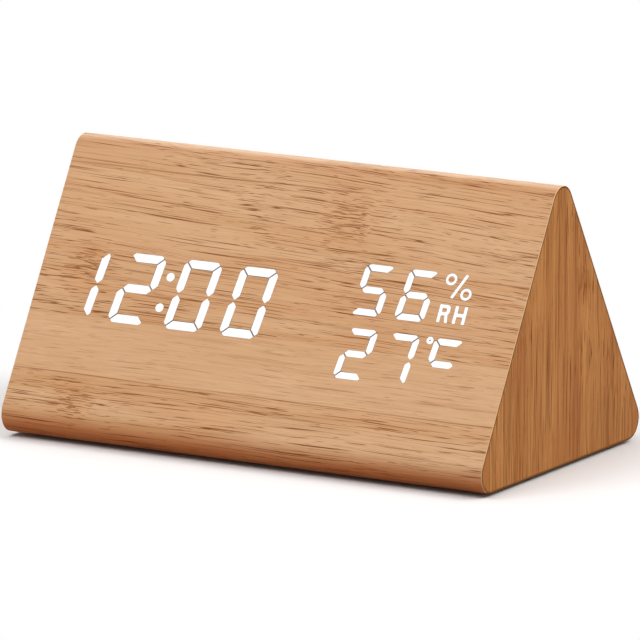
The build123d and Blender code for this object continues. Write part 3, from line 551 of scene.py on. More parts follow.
def bamboo_film(
    name, turn, across_axis, across_start, folded, strips, knots, knot_axes, tones, warm, fibres, streak, dark
):
    """Printed vinyl film with laminated bamboo grain: strips of differing tone and crowding, fine
    fibres, thin dark streaks and the swirled marks of bamboo joints, under a satin embossed skin. The turn is
    in degrees, fibres is how far these lighten and darken the ground, and dark how full a streak is."""
    material, tree, shader = start_finish(name)
    place = add(tree, "ShaderNodeTexCoord").outputs["Object"]
    knot = knot_nearness(tree, place, knots, knot_axes)
    grain = wandering_grain(tree, place, turn, knot)
    across = place_across(tree, place, across_axis, across_start, folded)
    crowding, warmth, tone, seam = strip_looks(tree, across, strips)
    if folded:
        grain = leaning_grain(tree, place, grain, across)

    # Fibres darken and lighten the ground, and the marks are printed over both
    ground = ground_tone(tree, grain, knot, warmth, tone, tones, warm)
    fibre = grain_noise(tree, grain, fibre_size, detail=2, roughness=0.6)
    low, high = fibre_edges
    paleness = add(tree, "ShaderNodeMapRange", {"Value": fibre, 1: low, 2: high, 3: 0.0, 4: 1.0}).outputs[0]
    deep, pale = ([1 + side * fibres * share for share in fibre_shares] for side in (-1, 1))
    light = add(
        tree, "ShaderNodeMix", {0: paleness, 6: (*deep, 1.0), 7: (*pale, 1.0)}, data_type="RGBA"
    ).outputs[2]
    fibred = add(
        tree, "ShaderNodeMix", {0: 1.0, 6: ground, 7: light}, data_type="RGBA", blend_type="MULTIPLY"
    ).outputs[2]
    mark = grain_marks(tree, grain, knot, crowding, seam, dark)
    printed = add(
        tree, "ShaderNodeMix", {0: mark, 6: fibred, 7: colour(streak)}, data_type="RGBA"
    ).outputs[2]
    # Painted shade and a painted highlight at the folds of the wrap
    if folded:
        printed = painted_fold_light(tree, printed, across)

    # Marks are embossed and duller than the skin between them
    dent = add(
        tree, "ShaderNodeMath", {0: mark, 1: dent_share, 2: fibre}, operation="MULTIPLY_ADD"
    ).outputs[0]
    bump = add(tree, "ShaderNodeBump", {"Height": dent, "Strength": 0.35, "Distance": dent_depth * MM})
    smooth, rough = film_roughness
    dulled = add(tree, "ShaderNodeMapRange", {"Value": mark, 1: 0.0, 2: 1.0, 3: smooth, 4: rough})
    tree.links.new(printed, shader.inputs["Base Color"])
    tree.links.new(bump.outputs["Normal"], shader.inputs["Normal"])
    tree.links.new(dulled.outputs[0], shader.inputs["Roughness"])
    shader.inputs["Specular IOR Level"].default_value = film_shine
    return material


def on_face(face, u, v):
    """Millimetre place of a point of a sloping face."""
    return tuple(face @ Vector((u * MM, v * MM, 0)) / MM)


# Wrap: honey-coloured strips along the clock with fine brown lines, and one strip calm and pale
wrap_film = bamboo_film(
    "bamboo_print_vinyl",
    turn=(0, 0, 0),
    across_axis=(0, -run_share, rise_share),
    across_start=prism_base / 2 * run_share - base_height * rise_share,
    folded=True,
    # Edge up the slope, then crowding, warmth and tone
    strips=(
        (0.0, 0.75, 0.35, 0.45),
        (20.5, 0.12, 0.05, 0.62),
        (37.0, 0.8, 0.5, 0.47),
        (59.5, 0.6, 0.2, 0.52),
        (80.5, 0.75, 0.2, 0.42),
    ),
    knots=(
        (on_face(front_face, 15, 74), 13, 13),
        (on_face(front_face, -61, 52), 11, 9),
        (on_face(front_face, -54, 13), 10, 9),
        (on_face(back_face, 40, 70), 12, 10),
        (on_face(back_face, -20, 8), 10, 8),
    ),
    knot_axes=((1, 0, 0), (0, run_share, rise_share), (0, rise_share, -run_share)),
    tones=((0.3, "D29F6F"), (0.45, "D9A87B"), (0.6, "DEAF83"), (0.75, "D5A375")),
    warm="D0935F",
    fibres=0.13,
    streak="80420C",
    dark=0.9,
)
# Ends: the same print stood upright in a deeper orange brown, with stronger fibres and no calm strip
end_film = bamboo_film(
    "bamboo_print_vinyl_upright",
    turn=(0, 90, 0),
    across_axis=(0, 1, 0),
    across_start=strip_span / 2,
    folded=False,
    # Edge from the front, then crowding, warmth and tone
    strips=(
        (0.0, 0.6, 0.6, 0.5),
        (17.0, 0.75, 0.3, 0.45),
        (31.5, 0.8, 0.2, 0.55),
        (46.0, 0.6, 0.4, 0.5),
        (55.0, 0.8, 0.6, 0.45),
        (70.0, 0.75, 0.4, 0.55),
    ),
    knots=(((half_length, 12, 48), 9, 8), ((-half_length, -11, 32), 9, 8)),
    knot_axes=((0, 0, 1), (0, 1, 0), (1, 0, 0)),
    tones=((0.3, "B76F2F"), (0.42, "C98240"), (0.58, "D7904B"), (0.75, "BE7836")),
    warm="B5682A",
    fibres=0.26,
    streak="743A08",
    dark=0.95,
)


# Other finishes


def plain_finish(name, code, roughness, grit=0.4, spread=0.06, depth=0.02, metallic=0.0, shine=0.5):
    """A moulded or plated finish in one colour, a little uneven, with a grit drawn coarser than a mould's
    so that it shows."""
    material, tree, shader = start_finish(name)
    place = add(tree, "ShaderNodeTexCoord").outputs["Object"]
    fine, broad = (
        add(
            tree, "ShaderNodeTexNoise", {"Vector": place, "Scale": 1 / (size * MM), "Detail": 2.0}
        ).outputs["Fac"]
        for size in (grit, blotch_size)
    )
    low, high = noise_edges
    shade = add(
        tree, "ShaderNodeMapRange", {"Value": broad, 1: low, 2: high, 3: 1 - spread, 4: 1 + spread}
    ).outputs[0]
    tinted = add(
        tree,
        "ShaderNodeMix",
        {0: 1.0, 6: colour(code), 7: shade},
        data_type="RGBA",
        blend_type="MULTIPLY",
    ).outputs[2]
    bump = add(tree, "ShaderNodeBump", {"Height": fine, "Strength": 0.5, "Distance": depth * MM})
    tree.links.new(tinted, shader.inputs["Base Color"])
    tree.links.new(bump.outputs["Normal"], shader.inputs["Normal"])
    shader.inputs["Roughness"].default_value = roughness
    shader.inputs["Metallic"].default_value = metallic
    shader.inputs["Specular IOR Level"].default_value = shine
    return material


def lit_acrylic():
    """White diffuser lit from behind: it shines evenly, with a slight fall-off in the casting."""
    material, tree, shader = start_finish("lit_white_acrylic")
    place = add(tree, "ShaderNodeTexCoord").outputs["Object"]
    cast = add(tree, "ShaderNodeTexNoise", {"Vector": place, "Scale": 1 / (casting_size * MM), "Detail": 1.0})
    glow = add(tree, "ShaderNodeValToRGB", {"Fac": cast.outputs["Fac"]})
    ramp_stops(glow, list(zip(noise_edges, (colour("F8F9FC"), colour("FFFFFF")))))
    tree.links.new(glow.outputs["Color"], shader.inputs["Emission Color"])
    shader.inputs["Base Color"].default_value = colour("6E6A66")
    shader.inputs["Emission Strength"].default_value = 0.86
    shader.inputs["Roughness"].default_value = 0.5
    return material


def screw_finish():
    """Dulled zinc plate: a soft grey shine on the heads, and a painted shade that darkens their crossed
    recesses.
    """
    material, tree, shader = start_finish("dulled_zinc_plate")
    place = add(tree, "ShaderNodeTexCoord").outputs["Object"]
    above = add(tree, "ShaderNodeVectorMath", {0: place, 1: plate_top.translation}, operation="SUBTRACT")
    height = add(
        tree,
        "ShaderNodeVectorMath",
        {0: above.outputs[0], 1: plate_top.col[2][:3]},
        operation="DOT_PRODUCT",
    ).outputs["Value"]
    low, high = (depth * MM for depth in recess_shade)
    sunk = add(tree, "ShaderNodeMapRange", {"Value": height, 1: low, 2: high, 3: 1.0, 4: 0.0})
    # Painted shade: the grey turns near black down in the crossed recess
    plated_and_shaded = add(
        tree,
        "ShaderNodeMix",
        {0: sunk.outputs[0], 6: colour("8E9093"), 7: colour("2A2A2B")},
        data_type="RGBA",
    ).outputs[2]
    scuffs = grain_noise(tree, place, scuff_size, detail=2)
    low, high = noise_edges
    smooth, rough = screw_roughness
    dulled = add(tree, "ShaderNodeMapRange", {"Value": scuffs, 1: low, 2: high, 3: smooth, 4: rough})
    tree.links.new(plated_and_shaded, shader.inputs["Base Color"])
    tree.links.new(dulled.outputs[0], shader.inputs["Roughness"])
    shader.inputs["Metallic"].default_value = 1.0
    return material


bare_metal = dict(grit=0.2, spread=0.05, depth=0.01, metallic=1.0)
finishes = {
    "bamboo_film": wrap_film,
    "end_film": end_film,
    "lit_bars": lit_acrylic(),
    # Raw fibreboard: a dull biscuit brown, mottled with fine fibres
    "mdf": plain_finish("raw_mdf", "B08A5E", roughness=0.9, grit=0.6, spread=0.1, depth=0.05),
    # Painted highlight on the bevels of the film's cut ends that face the light: a thin pale line
    "cut_edge": plain_finish("cut_vinyl_edge_highlight", "EBC293", roughness=0.6, grit=0.3, spread=0.05, shine=0.15),
    # A thin brown line that parts wrap and end: the glue joint at the square cut ends, and painted shade on
    # the bevels that face away from the light
    "glue_joint_and_shade": plain_finish("vinyl_glue_joint_and_painted_shade", "965F2E", roughness=0.7, grit=0.3, spread=0.1, shine=0.05),
    # Painted shade on the film's ends under the case: it deepens the gap below
    "under_shade": plain_finish("vinyl_edge_painted_shade", "4E2C14", roughness=0.7, grit=0.3, spread=0.1, shine=0.05),
    # Light box: flat mid grey with a slight grit
    "reflector": plain_finish("grey_moulded_styrene", "8A8785", roughness=0.6),
    # Its edge beside each bar: painted shade of the narrow gap round the bar, a hairline of dark grey that
    # sharpens the digits
    "rim": plain_finish("light_box_edge_painted_shade", "4A4849", roughness=0.7, grit=0.3, spread=0.05),
    # Diffuser behind the unit signs: cloudy white, half glossy
    "diffuser": plain_finish("milky_acrylic", "E8E8E4", roughness=0.4),
    # Chip lamps: small pale yellow squares
    "led": plain_finish("led_phosphor", "F0E6B4", roughness=0.35),
    # Circuit boards: deep green, blotched and half glossy
    "circuit": plain_finish("green_solder_mask", "1F5A37", roughness=0.35, grit=0.8, spread=0.12),
    # Chip packages and buzzer: near black and dull
    "chip": plain_finish("moulded_epoxy", "1E1E20", roughness=0.6),
    # Board and light box screws, coin cell: bright grey metal
    "steel": plain_finish("zinc_plated_steel", "B4B6B8", roughness=0.34, **bare_metal),
    # Rear plate and door: black with a fine spark grain that greys it under soft light
    "black_abs": plain_finish(
        "spark_textured_black_abs", "242426", roughness=0.5, grit=0.45, spread=0.08, depth=0.06
    ),
    # Keys: a shade lighter and smoother than the plate, so they stand off it
    "button": plain_finish("satin_grey_abs", "3A3A3D", roughness=0.38),
    # Switch bodies and plungers: plain dark plastic
    "switch": plain_finish("moulded_nylon_black", "2B2B2D", roughness=0.5),
    # Power jack: a glossy black ring down in its hole
    "jack": plain_finish("glossy_black_pbt", "19191B", roughness=0.25),
    # Its pin: a golden glint
    "pin": plain_finish("gilt_brass", "C9A24B", roughness=0.25, **bare_metal),
    # Microphone and crystal: bright drawn metal
    "can": plain_finish("drawn_aluminium_can", "C4C6C8", roughness=0.3, **bare_metal),
    # Climate sensor: cool white plastic behind the vents
    "sensor": plain_finish("white_moulded_nylon", "E6EAEC", roughness=0.5),
    # Coin cell holder: dull black
    "holder": plain_finish("black_nylon", "2A2A2C", roughness=0.55),
    # Cells: slate blue lacquer with a metal shimmer
    "cell": plain_finish(
        "printed_cell_jacket", "33475C", roughness=0.3, grit=0.3, spread=0.04, depth=0.01, metallic=0.4
    ),
    # Battery contacts: warm silver
    "contact": plain_finish("nickel_spring_steel", "C8C6BE", roughness=0.28, **bare_metal),
    # Flat cable: soft light grey
    "ribbon": plain_finish("grey_vinyl_ribbon", "A9ADB2", roughness=0.5),
    # Cable sockets: cream plastic
    "socket": plain_finish("cream_nylon", "E4DEC8", roughness=0.45),
    # Battery leads: brick red sheath
    "lead": plain_finish("red_vinyl_sheath", "A8322A", roughness=0.45),
    # Feet: matt black, almost lost in the shadow under the case
    "foot": plain_finish("black_rubber", "2C2A28", roughness=0.8, grit=0.5, spread=0.08, depth=0.05),
    # Legends on the rear plate: flat off-white
    "ink": plain_finish("pad_printed_ink", "CFCFCB", roughness=0.6, grit=0.3, spread=0.04, depth=0.005),
}
finishes["unlit_bars"] = finishes["diffuser"]

# CAD nodes that stay take the finish of their record slot
for part in frame["record"]["subparts"]:
    mesh = frame["nodes"][part["node"]].data
    mesh.materials.clear()
    mesh.materials.append(finishes[part["material_slot"]])


# Pieces


def placed(name, data):
    """A new object in the scene, at the origin."""
    made = bpy.data.objects.new(name, data)
    bpy.context.scene.collection.objects.link(made)
    return made


def settled(holder):
    """Plain mesh of an object as its modifiers leave it. The object itself goes."""
    bpy.context.view_layer.update()
    mesh = bpy.data.meshes.new_from_object(holder.evaluated_get(bpy.context.evaluated_depsgraph_get()))
    bpy.data.objects.remove(holder)
    return mesh


def new_piece(name, mesh, finish, slot, *stood_for):
    """Put a mesh in the scene as a piece of the case, in a finish, for the CAD nodes it replaces."""
    piece = placed(name, mesh)
    if finish is not None:
        mesh.materials.clear()
        mesh.materials.append(finish)
    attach(piece, "case")
    if stood_for:
        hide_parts(*stood_for)


def turned_left(loop):
    """A closed outline with its points in anticlockwise order."""
    area = sum(a[0] * b[1] - b[0] * a[1] for a, b in zip(loop, loop[1:] + loop[:1]))
    return loop if area > 0 else loop[::-1]


def plate_mesh(name, shapes, top, bottom, face=front_face):
    """Mesh of flat shapes on a face, each an outline with its holes, between two heights."""
    points, faces = [], []
    for outer, *holes in shapes:
        loops = [turned_left(outer)] + [turned_left(hole)[::-1] for hole in holes]
        first = len(points)
        count = sum(len(loop) for loop in loops)
        for height in (top, bottom):
            points += [(u * MM, v * MM, height * MM) for loop in loops for u, v in loop]
        flat = [[Vector((u, v, 0)) for u, v in loop] for loop in loops]
        corners = [point for loop in flat for point in loop]
        for a, b, c in tessellate_polygon(flat):
            if (corners[b] - corners[a]).cross(corners[c] - corners[a]).z < 0:
                b, c = c, b
            faces.append((first + a, first + b, first + c))
            faces.append((first + count + a, first + count + c, first + count + b))
        edge = first
        for loop in loops:
            for i in range(len(loop)):
                here, after = edge + i, edge + (i + 1) % len(loop)
                faces.append((here + count, after + count, after, here))
            edge += len(loop)
    mesh = bpy.data.meshes.new(name)
    mesh.from_pydata(points, [], faces)
    mesh.transform(face)
    return mesh


def arc_spokes(first, last, steps):
    """Spokes of an arc, evenly from the first to the last."""
    sweep = first.angle_signed(last)
    spokes = [first.copy() for _ in range(steps + 1)]
    for step, spoke in enumerate(spokes):
        spoke.rotate(Matrix.Rotation(-sweep * step / steps, 2))
    return spokes


def rounded(points, radius):
    """A closed outline with its corners rounded, all alike or each by its own radius, as far as the
    shorter side allows."""
    loop = []
    count = len(points)
    radii = radius if isinstance(radius, list) else [radius] * count
    for i in range(count):
        before, corner, after = (Vector(points[(i + k) % count]) for k in (-1, 0, 1))
        back = before - corner
        ahead = after - corner
        half_turn = back.angle(ahead) / 2
        cut = min(radii[i] / math.tan(half_turn), side_share * back.length, side_share * ahead.length)
        reach = cut * math.tan(half_turn)
        back.normalize()
        ahead.normalize()
        centre = corner + (back + ahead).normalized() * cut / math.cos(half_turn)
        spokes = arc_spokes(corner + back * cut - centre, corner + ahead * cut - centre, arc_steps)
        loop += [tuple(centre + spoke.normalized() * reach) for spoke in spokes]
    return loop


def grown(loop, neighbours):
    """A closed outline moved outwards by the rim's width, and further where a neighbour is near."""
    loop = [Vector(point) for point in turned_left(loop)]
    moved_out = []
    for before, here, after in zip(loop[-1:] + loop[:-1], loop, loop[1:] + loop[:1]):
        along = (after - before).normalized()
        meets = any((here - point).length < joint_reach for point in neighbours)
        amount = rim_reach if meets else rim_width
        moved_out.append(tuple(here + Vector((along.y, -along.x)) * amount))
    return moved_out


def ring(centre, radius, steps=ring_steps):
    """Points of a circle on the face."""
    turns = [2 * math.pi * i / steps for i in range(steps)]
    return [(centre[0] + radius * math.cos(t), centre[1] + radius * math.sin(t)) for t in turns]


# Lit digits and signs


def bar_outline(u, v, width, height, stroke, letter):
    """Rounded outline of one bar of a seven-segment digit, mirrored and leant into its place."""
    half_width, half_height, half_stroke = width / 2, height / 2, stroke / 2
    cut = corner_cut_share * stroke
    step = bar_gap / 2 / math.sqrt(2)
    tip_gap = bar_gap / math.sqrt(2)
    inner, outer = half_width - half_stroke, half_width + half_stroke
    top, under = half_height + half_stroke, half_height - half_stroke
    if letter in "ad":
        points = [
            (outer - cut, top),
            (outer - cut / 2 - step, top - cut / 2 + step),
            (inner - 2 * step, under),
        ]
        points += [(-x, y) for x, y in reversed(points)]
        rounding = [outer_rounding, joint_rounding, joint_rounding]
        rounding += rounding[::-1]
    elif letter == "g":
        tip = half_width - tip_gap
        flat = tip - half_stroke
        points = [(tip, 0), (flat, half_stroke), (-flat, half_stroke)]
        points += [(-x, -y) for x, y in points]
        rounding = [tip_rounding, outer_rounding, outer_rounding] * 2
    else:
        points = [
            (outer, top - cut),
            (outer - cut / 2 + step, top - cut / 2 - step),
            (inner, under - 2 * step),
            (inner, tip_gap + half_stroke),
            (half_width, tip_gap),
            (outer, tip_gap + half_stroke),
        ]
        rounding = [outer_rounding, joint_rounding, joint_rounding]
        rounding += [outer_rounding, tip_rounding, outer_rounding]
    across = -1 if letter in "ef" else 1
    upward = -1 if letter in "cde" else 1
    leant = [(u + across * x + lean_share * upward * y, v + upward * y) for x, y in points]
    return rounded(leant, rounding)


def row_loops(numerals, first_u, pitch, v, size):
    """Outlines of the lit bars of a row of digits."""
    return [
        bar_outline(first_u + place * pitch, v, letter=bar, **size)
        for place, numeral in enumerate(numerals)
        for bar in lit_bars[numeral]
    ]


def slash_loop(start, end, stroke):
    """A straight stroke with square ends between two points."""
    start, end = Vector(start), Vector(end)
    side = (end - start).normalized().orthogonal() * stroke / 2
    return [tuple(p) for p in (start + side, start - side, end - side, end + side)]


def letter_h(w, h, s):
    """Outlines of an H, each with the rounding of its corners."""
    low = (h - s) / 2
    outer = [(0, 0), (s, 0), (s, low), (w - s, low), (w - s, 0), (w, 0)]
    outer += [(w - x, h - y) for x, y in outer]
    return [(outer, letter_rounding)]


def letter_r(w, h, s):
    """Outlines of an R and of the hole in its bowl, each with the rounding of its corners."""
    under = bowl_share * h
    inner, outer, lift = (share * s for share in leg_shares)
    stem = [(0, h), (0, 0), (s, 0), (s, under)]
    leg = [(w - inner, under), (w - s, 0), (w, 0), (w - outer, under + lift)]
    bowl = [(w, under + s), (w, h)]
    roundings = [letter_rounding] * len(stem + leg) + [bowl_rounding] * len(bowl)
    roundings[0] = sharp_rounding
    hole = [(s, under + s), (w - s, under + s), (w - s, h - s), (s, h - s)]
    hole_roundings = [sharp_rounding, bowl_rounding / 2, bowl_rounding / 2, sharp_rounding]
    return [(stem + leg + bowl, roundings), (hole, hole_roundings)]


time_loops = row_loops("1200", time_first_u, time_pitch, time_v, time_digit)
humidity_loops = row_loops("56", humidity_first_u, humidity_pitch, humidity_v, small_digit)
temperature_loops = row_loops("27", temperature_first_u, temperature_pitch, temperature_v, small_digit)
temperature_loops += row_loops("C", unit_u, 0, temperature_v, small_digit)
colon_u = time_first_u + colon_place_share * time_pitch
colon_loops = [
    ring((colon_u + side * lean_share * colon_rise, time_v + side * colon_rise), colon_diameter / 2)
    for side in (-1, 1)
]
degree_outer = ring(degree_place, degree_diameter / 2)
degree_inner = ring(degree_place, degree_hole / 2, hole_steps)
sign_shapes = [
    [ring(c, percent_ring_radius), ring(c, percent_ring_radius - percent_stroke)] for c in percent_rings
]
sign_shapes.append([slash_loop(*percent_slash, slash_stroke)])
for draw, letter in ((letter_h, "H"), (letter_r, "R")):
    outlines = draw(letter_widths[letter], letter_height, letter_stroke)
    left = letter_places[letter]
    sign_shapes.append(
        [rounded([(left + x, letter_v + y) for x, y in points], rounding) for points, rounding in outlines]
    )

# Lit shapes by row: their outlines and the CAD node that each row stands for
lit_rows = {
    "time": ([[loop] for loop in time_loops], "time_segments_lit"),
    "colon": ([[loop] for loop in colon_loops], "colon_dots"),
    "humidity": ([[loop] for loop in humidity_loops], "humidity_segments_lit"),
    "temperature": ([[loop] for loop in temperature_loops], "temperature_segments_lit"),
    "degree": ([[degree_outer, degree_inner]], "degree_dot"),
    "humidity_sign": (sign_shapes, None),
}
window_shapes = []
for row, (shapes, node) in lit_rows.items():
    depth = bar_depth if node else film_thickness
    lights = plate_mesh(f"{row}_lights", shapes, 0, -depth)
    new_piece(f"{row}_lights", lights, finishes["lit_bars"], "lit_bars", *([node] if node else []))
    # Film fills the holes of a sign, and the light box the tiny one of the degree ring
    plugs = [[degree_inner]] if row == "degree" else []
    edged = []
    for shape in shapes:
        neighbours = [Vector(point) for other in shapes if other is not shape for point in other[0]]
        edged.append([grown(shape[0], neighbours), *([] if plugs else shape[1:])])
    rims = [[edge, outer] for (edge, *_), (outer, *_) in zip(edged, shapes)] + plugs
    rim_mesh = plate_mesh(f"{row}_rims", rims, -rim_sink, -rim_depth)
    new_piece(f"{row}_rims", rim_mesh, finishes["rim"], "reflector")
    window_shapes += edged


# Film wrapped round the boards


def section(inset):
    """Outline of the case's rounded triangular section, moved in by inset, as (y, z) points."""
    half_base = prism_base / 2 - inset / math.tan(half_corner)
    corners = [
        (half_base, base_height + inset),
        (0, base_height + prism_height - inset / run_share),
        (-half_base, base_height + inset),
    ]
    radius = corner_radius - inset
    points = []
    for i, corner in enumerate(corners):
        corner = Vector(corner)
        back = (Vector(corners[i - 1]) - corner).normalized()
        ahead = (Vector(corners[(i + 1) % 3]) - corner).normalized()
        cut = radius / math.tan(half_corner)
        centre = corner + (back + ahead).normalized() * radius / math.sin(half_corner)
        points.append(tuple(corner + back * (cut + corner_support)))
        spokes = arc_spokes(corner + back * cut - centre, corner + ahead * cut - centre, corner_steps)
        points += [tuple(centre + spoke) for spoke in spokes]
        points.append(tuple(corner + ahead * (cut + corner_support)))
    return points


def wrap_mesh():
    """The film folded round the boards, whole, with its cut ends bevelled."""
    bevelled = half_length - edge_bevel
    profile = [(-bevelled, 0), (bevelled, 0), (half_length, edge_bevel), (half_length, film_thickness)]
    profile += [(-half_length, film_thickness), (-half_length, edge_bevel)]
    work = bmesh.new()
    rings = [
        [work.verts.new((x * MM, y * MM, z * MM)) for y, z in section(inset)] for x, inset in profile
    ]
    count = len(rings[0])
    for a, b in zip(rings, rings[1:] + rings[:1]):
        for i in range(count):
            j = (i + 1) % count
            work.faces.new((a[i], a[j], b[j], b[i]))
    bmesh.ops.recalc_face_normals(work, faces=work.faces)
    mesh = bpy.data.meshes.new("film_wrap")
    work.to_mesh(mesh)
    work.free()
    return mesh


def cut_windows(mesh, cutters):
    """Cut meshes out of a mesh."""
    holder = placed("cut_holder", mesh)
    tools = [placed("cut_tool", cutter) for cutter in cutters]
    for tool in tools:
        step = holder.modifiers.new("cut", "BOOLEAN")
        step.object = tool
        step.operation = "DIFFERENCE"
        step.solver = "EXACT"
    result = settled(holder)
    for tool in tools:
        bpy.data.objects.remove(tool)
    return result


rear_window = [
    (x * rear_window_length / 2, plate_v + y * rear_window_height / 2)
    for x, y in ((-1, -1), (1, -1), (1, 1), (-1, 1))
]
rear_cutter = plate_mesh("rear_window", [[rear_window]], overrun, -film_thickness - overrun, back_face)
light_cutter = plate_mesh("light_windows", window_shapes, overrun, -film_thickness - overrun)
film = cut_windows(wrap_mesh(), [light_cutter, rear_cutter])
film_finishes = ["bamboo_film", "cut_edge", "glue_joint_and_shade", "under_shade"]
film.materials.clear()
for finish in film_finishes:
    film.materials.append(finishes[finish])
for face in film.polygons:
    face.use_smooth = True
    finish = "bamboo_film"
    # End faces: painted highlight on bevels that face the light, painted shade on those under the case, and
    # the glue joint's brown on the rest, which on the bevels facing away is painted shade
    if abs(face.center.x) > (half_length - edge_bevel) * MM:
        lit = abs(face.normal.x) < square_normal and face.normal.y < lit_normal
        finish = "under_shade" if face.normal.z < under_normal else "cut_edge" if lit else "glue_joint_and_shade"
    face.material_index = film_finishes.index(finish)
film.set_sharp_from_angle(angle=math.radians(sharp_angle))
new_piece(
    "film_wrap",
    film,
    None,
    "bamboo_film",
    "wood_grain_wrap",
    "time_segments_unlit",
    "humidity_segments_unlit",
    "temperature_segments_unlit",
)


# Rear plate's screws, instanced with their crossed recesses turned at random


def screw_nodes():
    """Geometry Nodes that stand countersunk screws on a grid, heads up at the height 0."""
    group = bpy.data.node_groups.new("countersunk_screws", "GeometryNodeTree")
    for label in screw_sizes:
        group.interface.new_socket(label, in_out="INPUT", socket_type="NodeSocketFloat")
    group.interface.new_socket("Finish", in_out="INPUT", socket_type="NodeSocketMaterial")
    group.interface.new_socket("Screws", in_out="OUTPUT", socket_type="NodeSocketGeometry")
    given = add(group, "NodeGroupInput").outputs

    # A cone for the head, drawn out at its small end into the shank
    cone = add(
        group,
        "GeometryNodeMeshCone",
        {
            "Vertices": screw_facets,
            "Radius Top": given["Head Radius"],
            "Radius Bottom": given["Shank Radius"],
            "Depth": given["Cone Height"],
        },
    ).outputs
    sunk = add(group, "ShaderNodeMath", {0: given["Cone Height"], 1: -1.0}, operation="MULTIPLY").outputs[0]
    shank = add(group, "ShaderNodeMath", {0: given["Length"], 1: sunk}, operation="ADD").outputs[0]
    drawn = add(
        group,
        "GeometryNodeExtrudeMesh",
        {"Mesh": cone["Mesh"], "Selection": cone["Bottom"], "Offset Scale": shank},
        mode="FACES",
    ).outputs["Mesh"]
    drop = add(group, "ShaderNodeCombineXYZ", {2: sunk}).outputs[0]
    blank = add(group, "GeometryNodeTransform", {"Geometry": drawn, "Translation": drop}).outputs[0]

    # The crossed recess, from two bars that stand half out of the head
    long, wide, deep = (given[f"Recess {side}"] for side in ("Length", "Width", "Depth"))
    tall = add(group, "ShaderNodeMath", {0: deep, 1: 2.0}, operation="MULTIPLY").outputs[0]
    recessed = add(group, "GeometryNodeMeshBoolean", {0: blank}, operation="DIFFERENCE")
    for sides in ((long, wide, tall), (wide, long, tall)):
        size = add(group, "ShaderNodeCombineXYZ", dict(enumerate(sides))).outputs[0]
        bar = add(group, "GeometryNodeMeshCube", {"Size": size}).outputs["Mesh"]
        group.links.new(bar, recessed.inputs[1])

    # Four places, each with its own turn of the driver: socket 3 is the greatest turn, output 1 the turn
    places = add(
        group,
        "GeometryNodeMeshGrid",
        {
            "Size X": given["Spacing Across"],
            "Size Y": given["Spacing Up"],
            "Vertices X": 2,
            "Vertices Y": 2,
        },
    ).outputs["Mesh"]
    turn = add(group, "FunctionNodeRandomValue", {3: math.pi / 2, "Seed": screw_seed}, data_type="FLOAT")
    turned = add(group, "ShaderNodeCombineXYZ", {2: turn.outputs[1]}).outputs[0]
    stood = add(
        group,
        "GeometryNodeInstanceOnPoints",
        {"Points": places, "Instance": recessed.outputs[0], "Rotation": turned},
    ).outputs[0]
    solid = add(group, "GeometryNodeRealizeInstances", {"Geometry": stood}).outputs[0]
    done = add(group, "GeometryNodeSetMaterial", {"Geometry": solid, "Material": given["Finish"]}).outputs[0]
    add(group, "NodeGroupOutput", {"Screws": done})
    return group


def from_nodes(name, group, values):
    """Mesh of a Geometry Nodes group with its named inputs set."""
    holder = placed(name, bpy.data.meshes.new(name))
    step = holder.modifiers.new("nodes", "NODES")
    step.node_group = group
    for socket in group.interface.items_tree:
        if socket.in_out == "INPUT":
            step[socket.identifier] = values[socket.name]
    return settled(holder)


screw_inputs = {label: size * MM for label, size in screw_sizes.items()}
screws = from_nodes("rear_plate_screws", screw_nodes(), {**screw_inputs, "Finish": screw_finish()})
screws.transform(plate_top)
new_piece("rear_plate_screws", screws, None, "steel", "plate_screws")


# Legends on the rear plate


def word_mesh(word, height, x, y):
    """Flat mesh of a word on the rear plate, its capitals of a height and its middle at a place."""
    curve = bpy.data.curves.new(word, "FONT")
    curve.body = word
    curve.align_x = "CENTER"
    curve.align_y = "CENTER"
    curve.size = height / capital_share * MM
    curve.extrude = ink_height / 2 * MM
    mesh = settled(placed(word, curve))
    work = bmesh.new()
    work.from_mesh(mesh)
    bmesh.ops.remove_doubles(work, verts=work.verts, dist=weld)
    bmesh.ops.recalc_face_normals(work, faces=work.faces)
    work.to_mesh(mesh)
    work.free()
    mesh.transform(plate_top @ Matrix.Translation((x * MM, y * MM, ink_height / 2 * MM)))
    return mesh


def arrow_mesh(name, upward, x, y):
    """Flat triangle on the rear plate that points up or down."""
    tip = arrow_half * upward
    points = [(x - arrow_half, y - tip), (x + arrow_half, y - tip), (x, y + tip)]
    return plate_mesh(name, [[points]], ink_height, 0, plate_top)


legends = {
    "set_legend": word_mesh("SET", legend_height, control_x - button_pitch, legend_y),
    "up_legend": arrow_mesh("up_legend", 1, control_x, legend_y),
    "down_legend": arrow_mesh("down_legend", -1, control_x + button_pitch, legend_y),
}
for name, mesh in legends.items():
    new_piece(name, mesh, finishes["ink"], "button")


# Floor, light and camera


def seen_rays(tree):
    """1 for rays of the camera, of reflections and through glass, and 0 for those that carry light."""
    ray = add(tree, "ShaderNodeLightPath").outputs
    return strongest(tree, [ray[f"Is {kind} Ray"] for kind in ("Camera", "Glossy", "Transmission")])


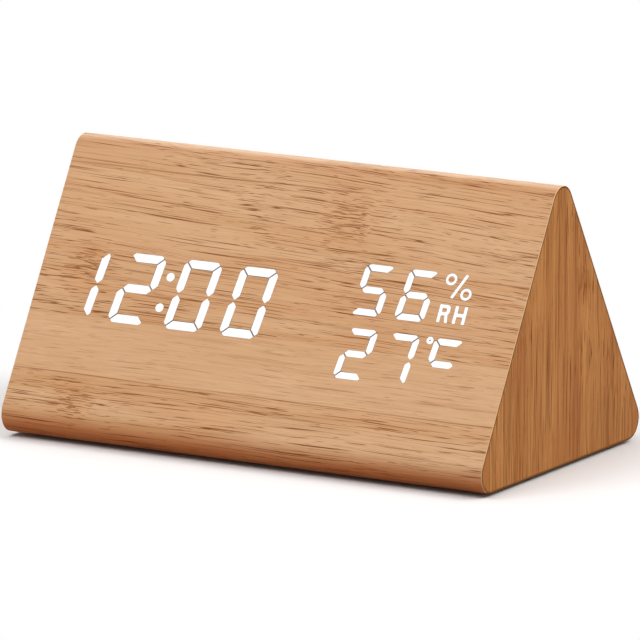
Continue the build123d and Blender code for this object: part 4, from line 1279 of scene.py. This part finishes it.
def studio_paper():
    """White paper that keeps the clock's shadow and turns to plain white away from it."""
    material, tree, shader = start_finish("white_studio_paper")
    tree.nodes.remove(shader)
    seen = seen_rays(tree)
    tint = add(
        tree, "ShaderNodeMapRange", {"Value": seen, 1: 0.0, 2: 1.0, 3: floor_bounce, 4: floor_white}
    ).outputs[0]
    paper = add(tree, "ShaderNodeBsdfDiffuse", {"Color": tint}).outputs[0]
    spot = add(tree, "ShaderNodeTexCoord").outputs["Object"]
    reach = add(tree, "ShaderNodeVectorMath", {0: spot}, operation="LENGTH").outputs["Value"]
    fade = add(
        tree,
        "ShaderNodeMapRange",
        {"Value": reach, 1: fade_start, 2: fade_end, 3: 0.0, 4: 1.0},
        interpolation_type="SMOOTHSTEP",
    ).outputs[0]
    fade = add(tree, "ShaderNodeMath", {0: fade, 1: seen}, operation="MULTIPLY").outputs[0]
    white = add(tree, "ShaderNodeEmission", {"Color": colour("FFFFFF"), "Strength": 1.0}).outputs[0]
    both = add(tree, "ShaderNodeMixShader", {0: fade, 1: paper, 2: white}).outputs[0]
    tree.links.new(both, tree.nodes["Material Output"].inputs["Surface"])
    return material


floor_mesh = bpy.data.meshes.new("floor")
floor_corners = [(x * floor_half, y * floor_half, 0) for x, y in ((-1, -1), (1, -1), (1, 1), (-1, 1))]
floor_mesh.from_pydata(floor_corners, [], [(0, 1, 2, 3)])
floor_mesh.materials.append(studio_paper())
floor = placed("floor", floor_mesh)

world = bpy.data.worlds.new("studio")
bpy.context.scene.world = world
world.use_nodes = True
sky = world.node_tree
strength = add(sky, "ShaderNodeMapRange", {"Value": seen_rays(sky), 1: 0.0, 2: 1.0, 3: ambient, 4: 1.0})
background = sky.nodes["Background"]
background.inputs["Color"].default_value = colour("FFFFFF")
sky.links.new(strength.outputs[0], background.inputs["Strength"])


def softbox(name, place, width, height, power):
    """A rectangular soft lamp turned towards the clock."""
    lamp = bpy.data.lights.new(name, "AREA")
    lamp.shape = "RECTANGLE"
    lamp.size = width
    lamp.size_y = height
    lamp.energy = power
    holder = placed(name, lamp)
    holder.location = place
    holder.rotation_mode = "QUATERNION"
    holder.rotation_quaternion = (Vector(lamp_aim) - Vector(place)).to_track_quat("-Z", "Y")


for name, sizes in lamps.items():
    softbox(name, **sizes)

back = Vector(
    (
        math.sin(azimuth) * math.cos(elevation),
        -math.cos(azimuth) * math.cos(elevation),
        math.sin(elevation),
    )
)
right = Vector((math.cos(azimuth), math.sin(azimuth), 0))
up = back.cross(right)
camera_data = bpy.data.cameras.new("camera")
camera_data.lens = lens
camera_data.sensor_width = sensor
camera = placed("camera", camera_data)
camera.matrix_world = Matrix.Translation(
    (Vector((0, 0, focus_height)) + shift_right * right + shift_up * up + distance * back) * MM
) @ Matrix((right, up, back)).transposed().to_4x4()
bpy.context.scene.camera = camera
bpy.context.scene.view_settings.view_transform = "Standard"
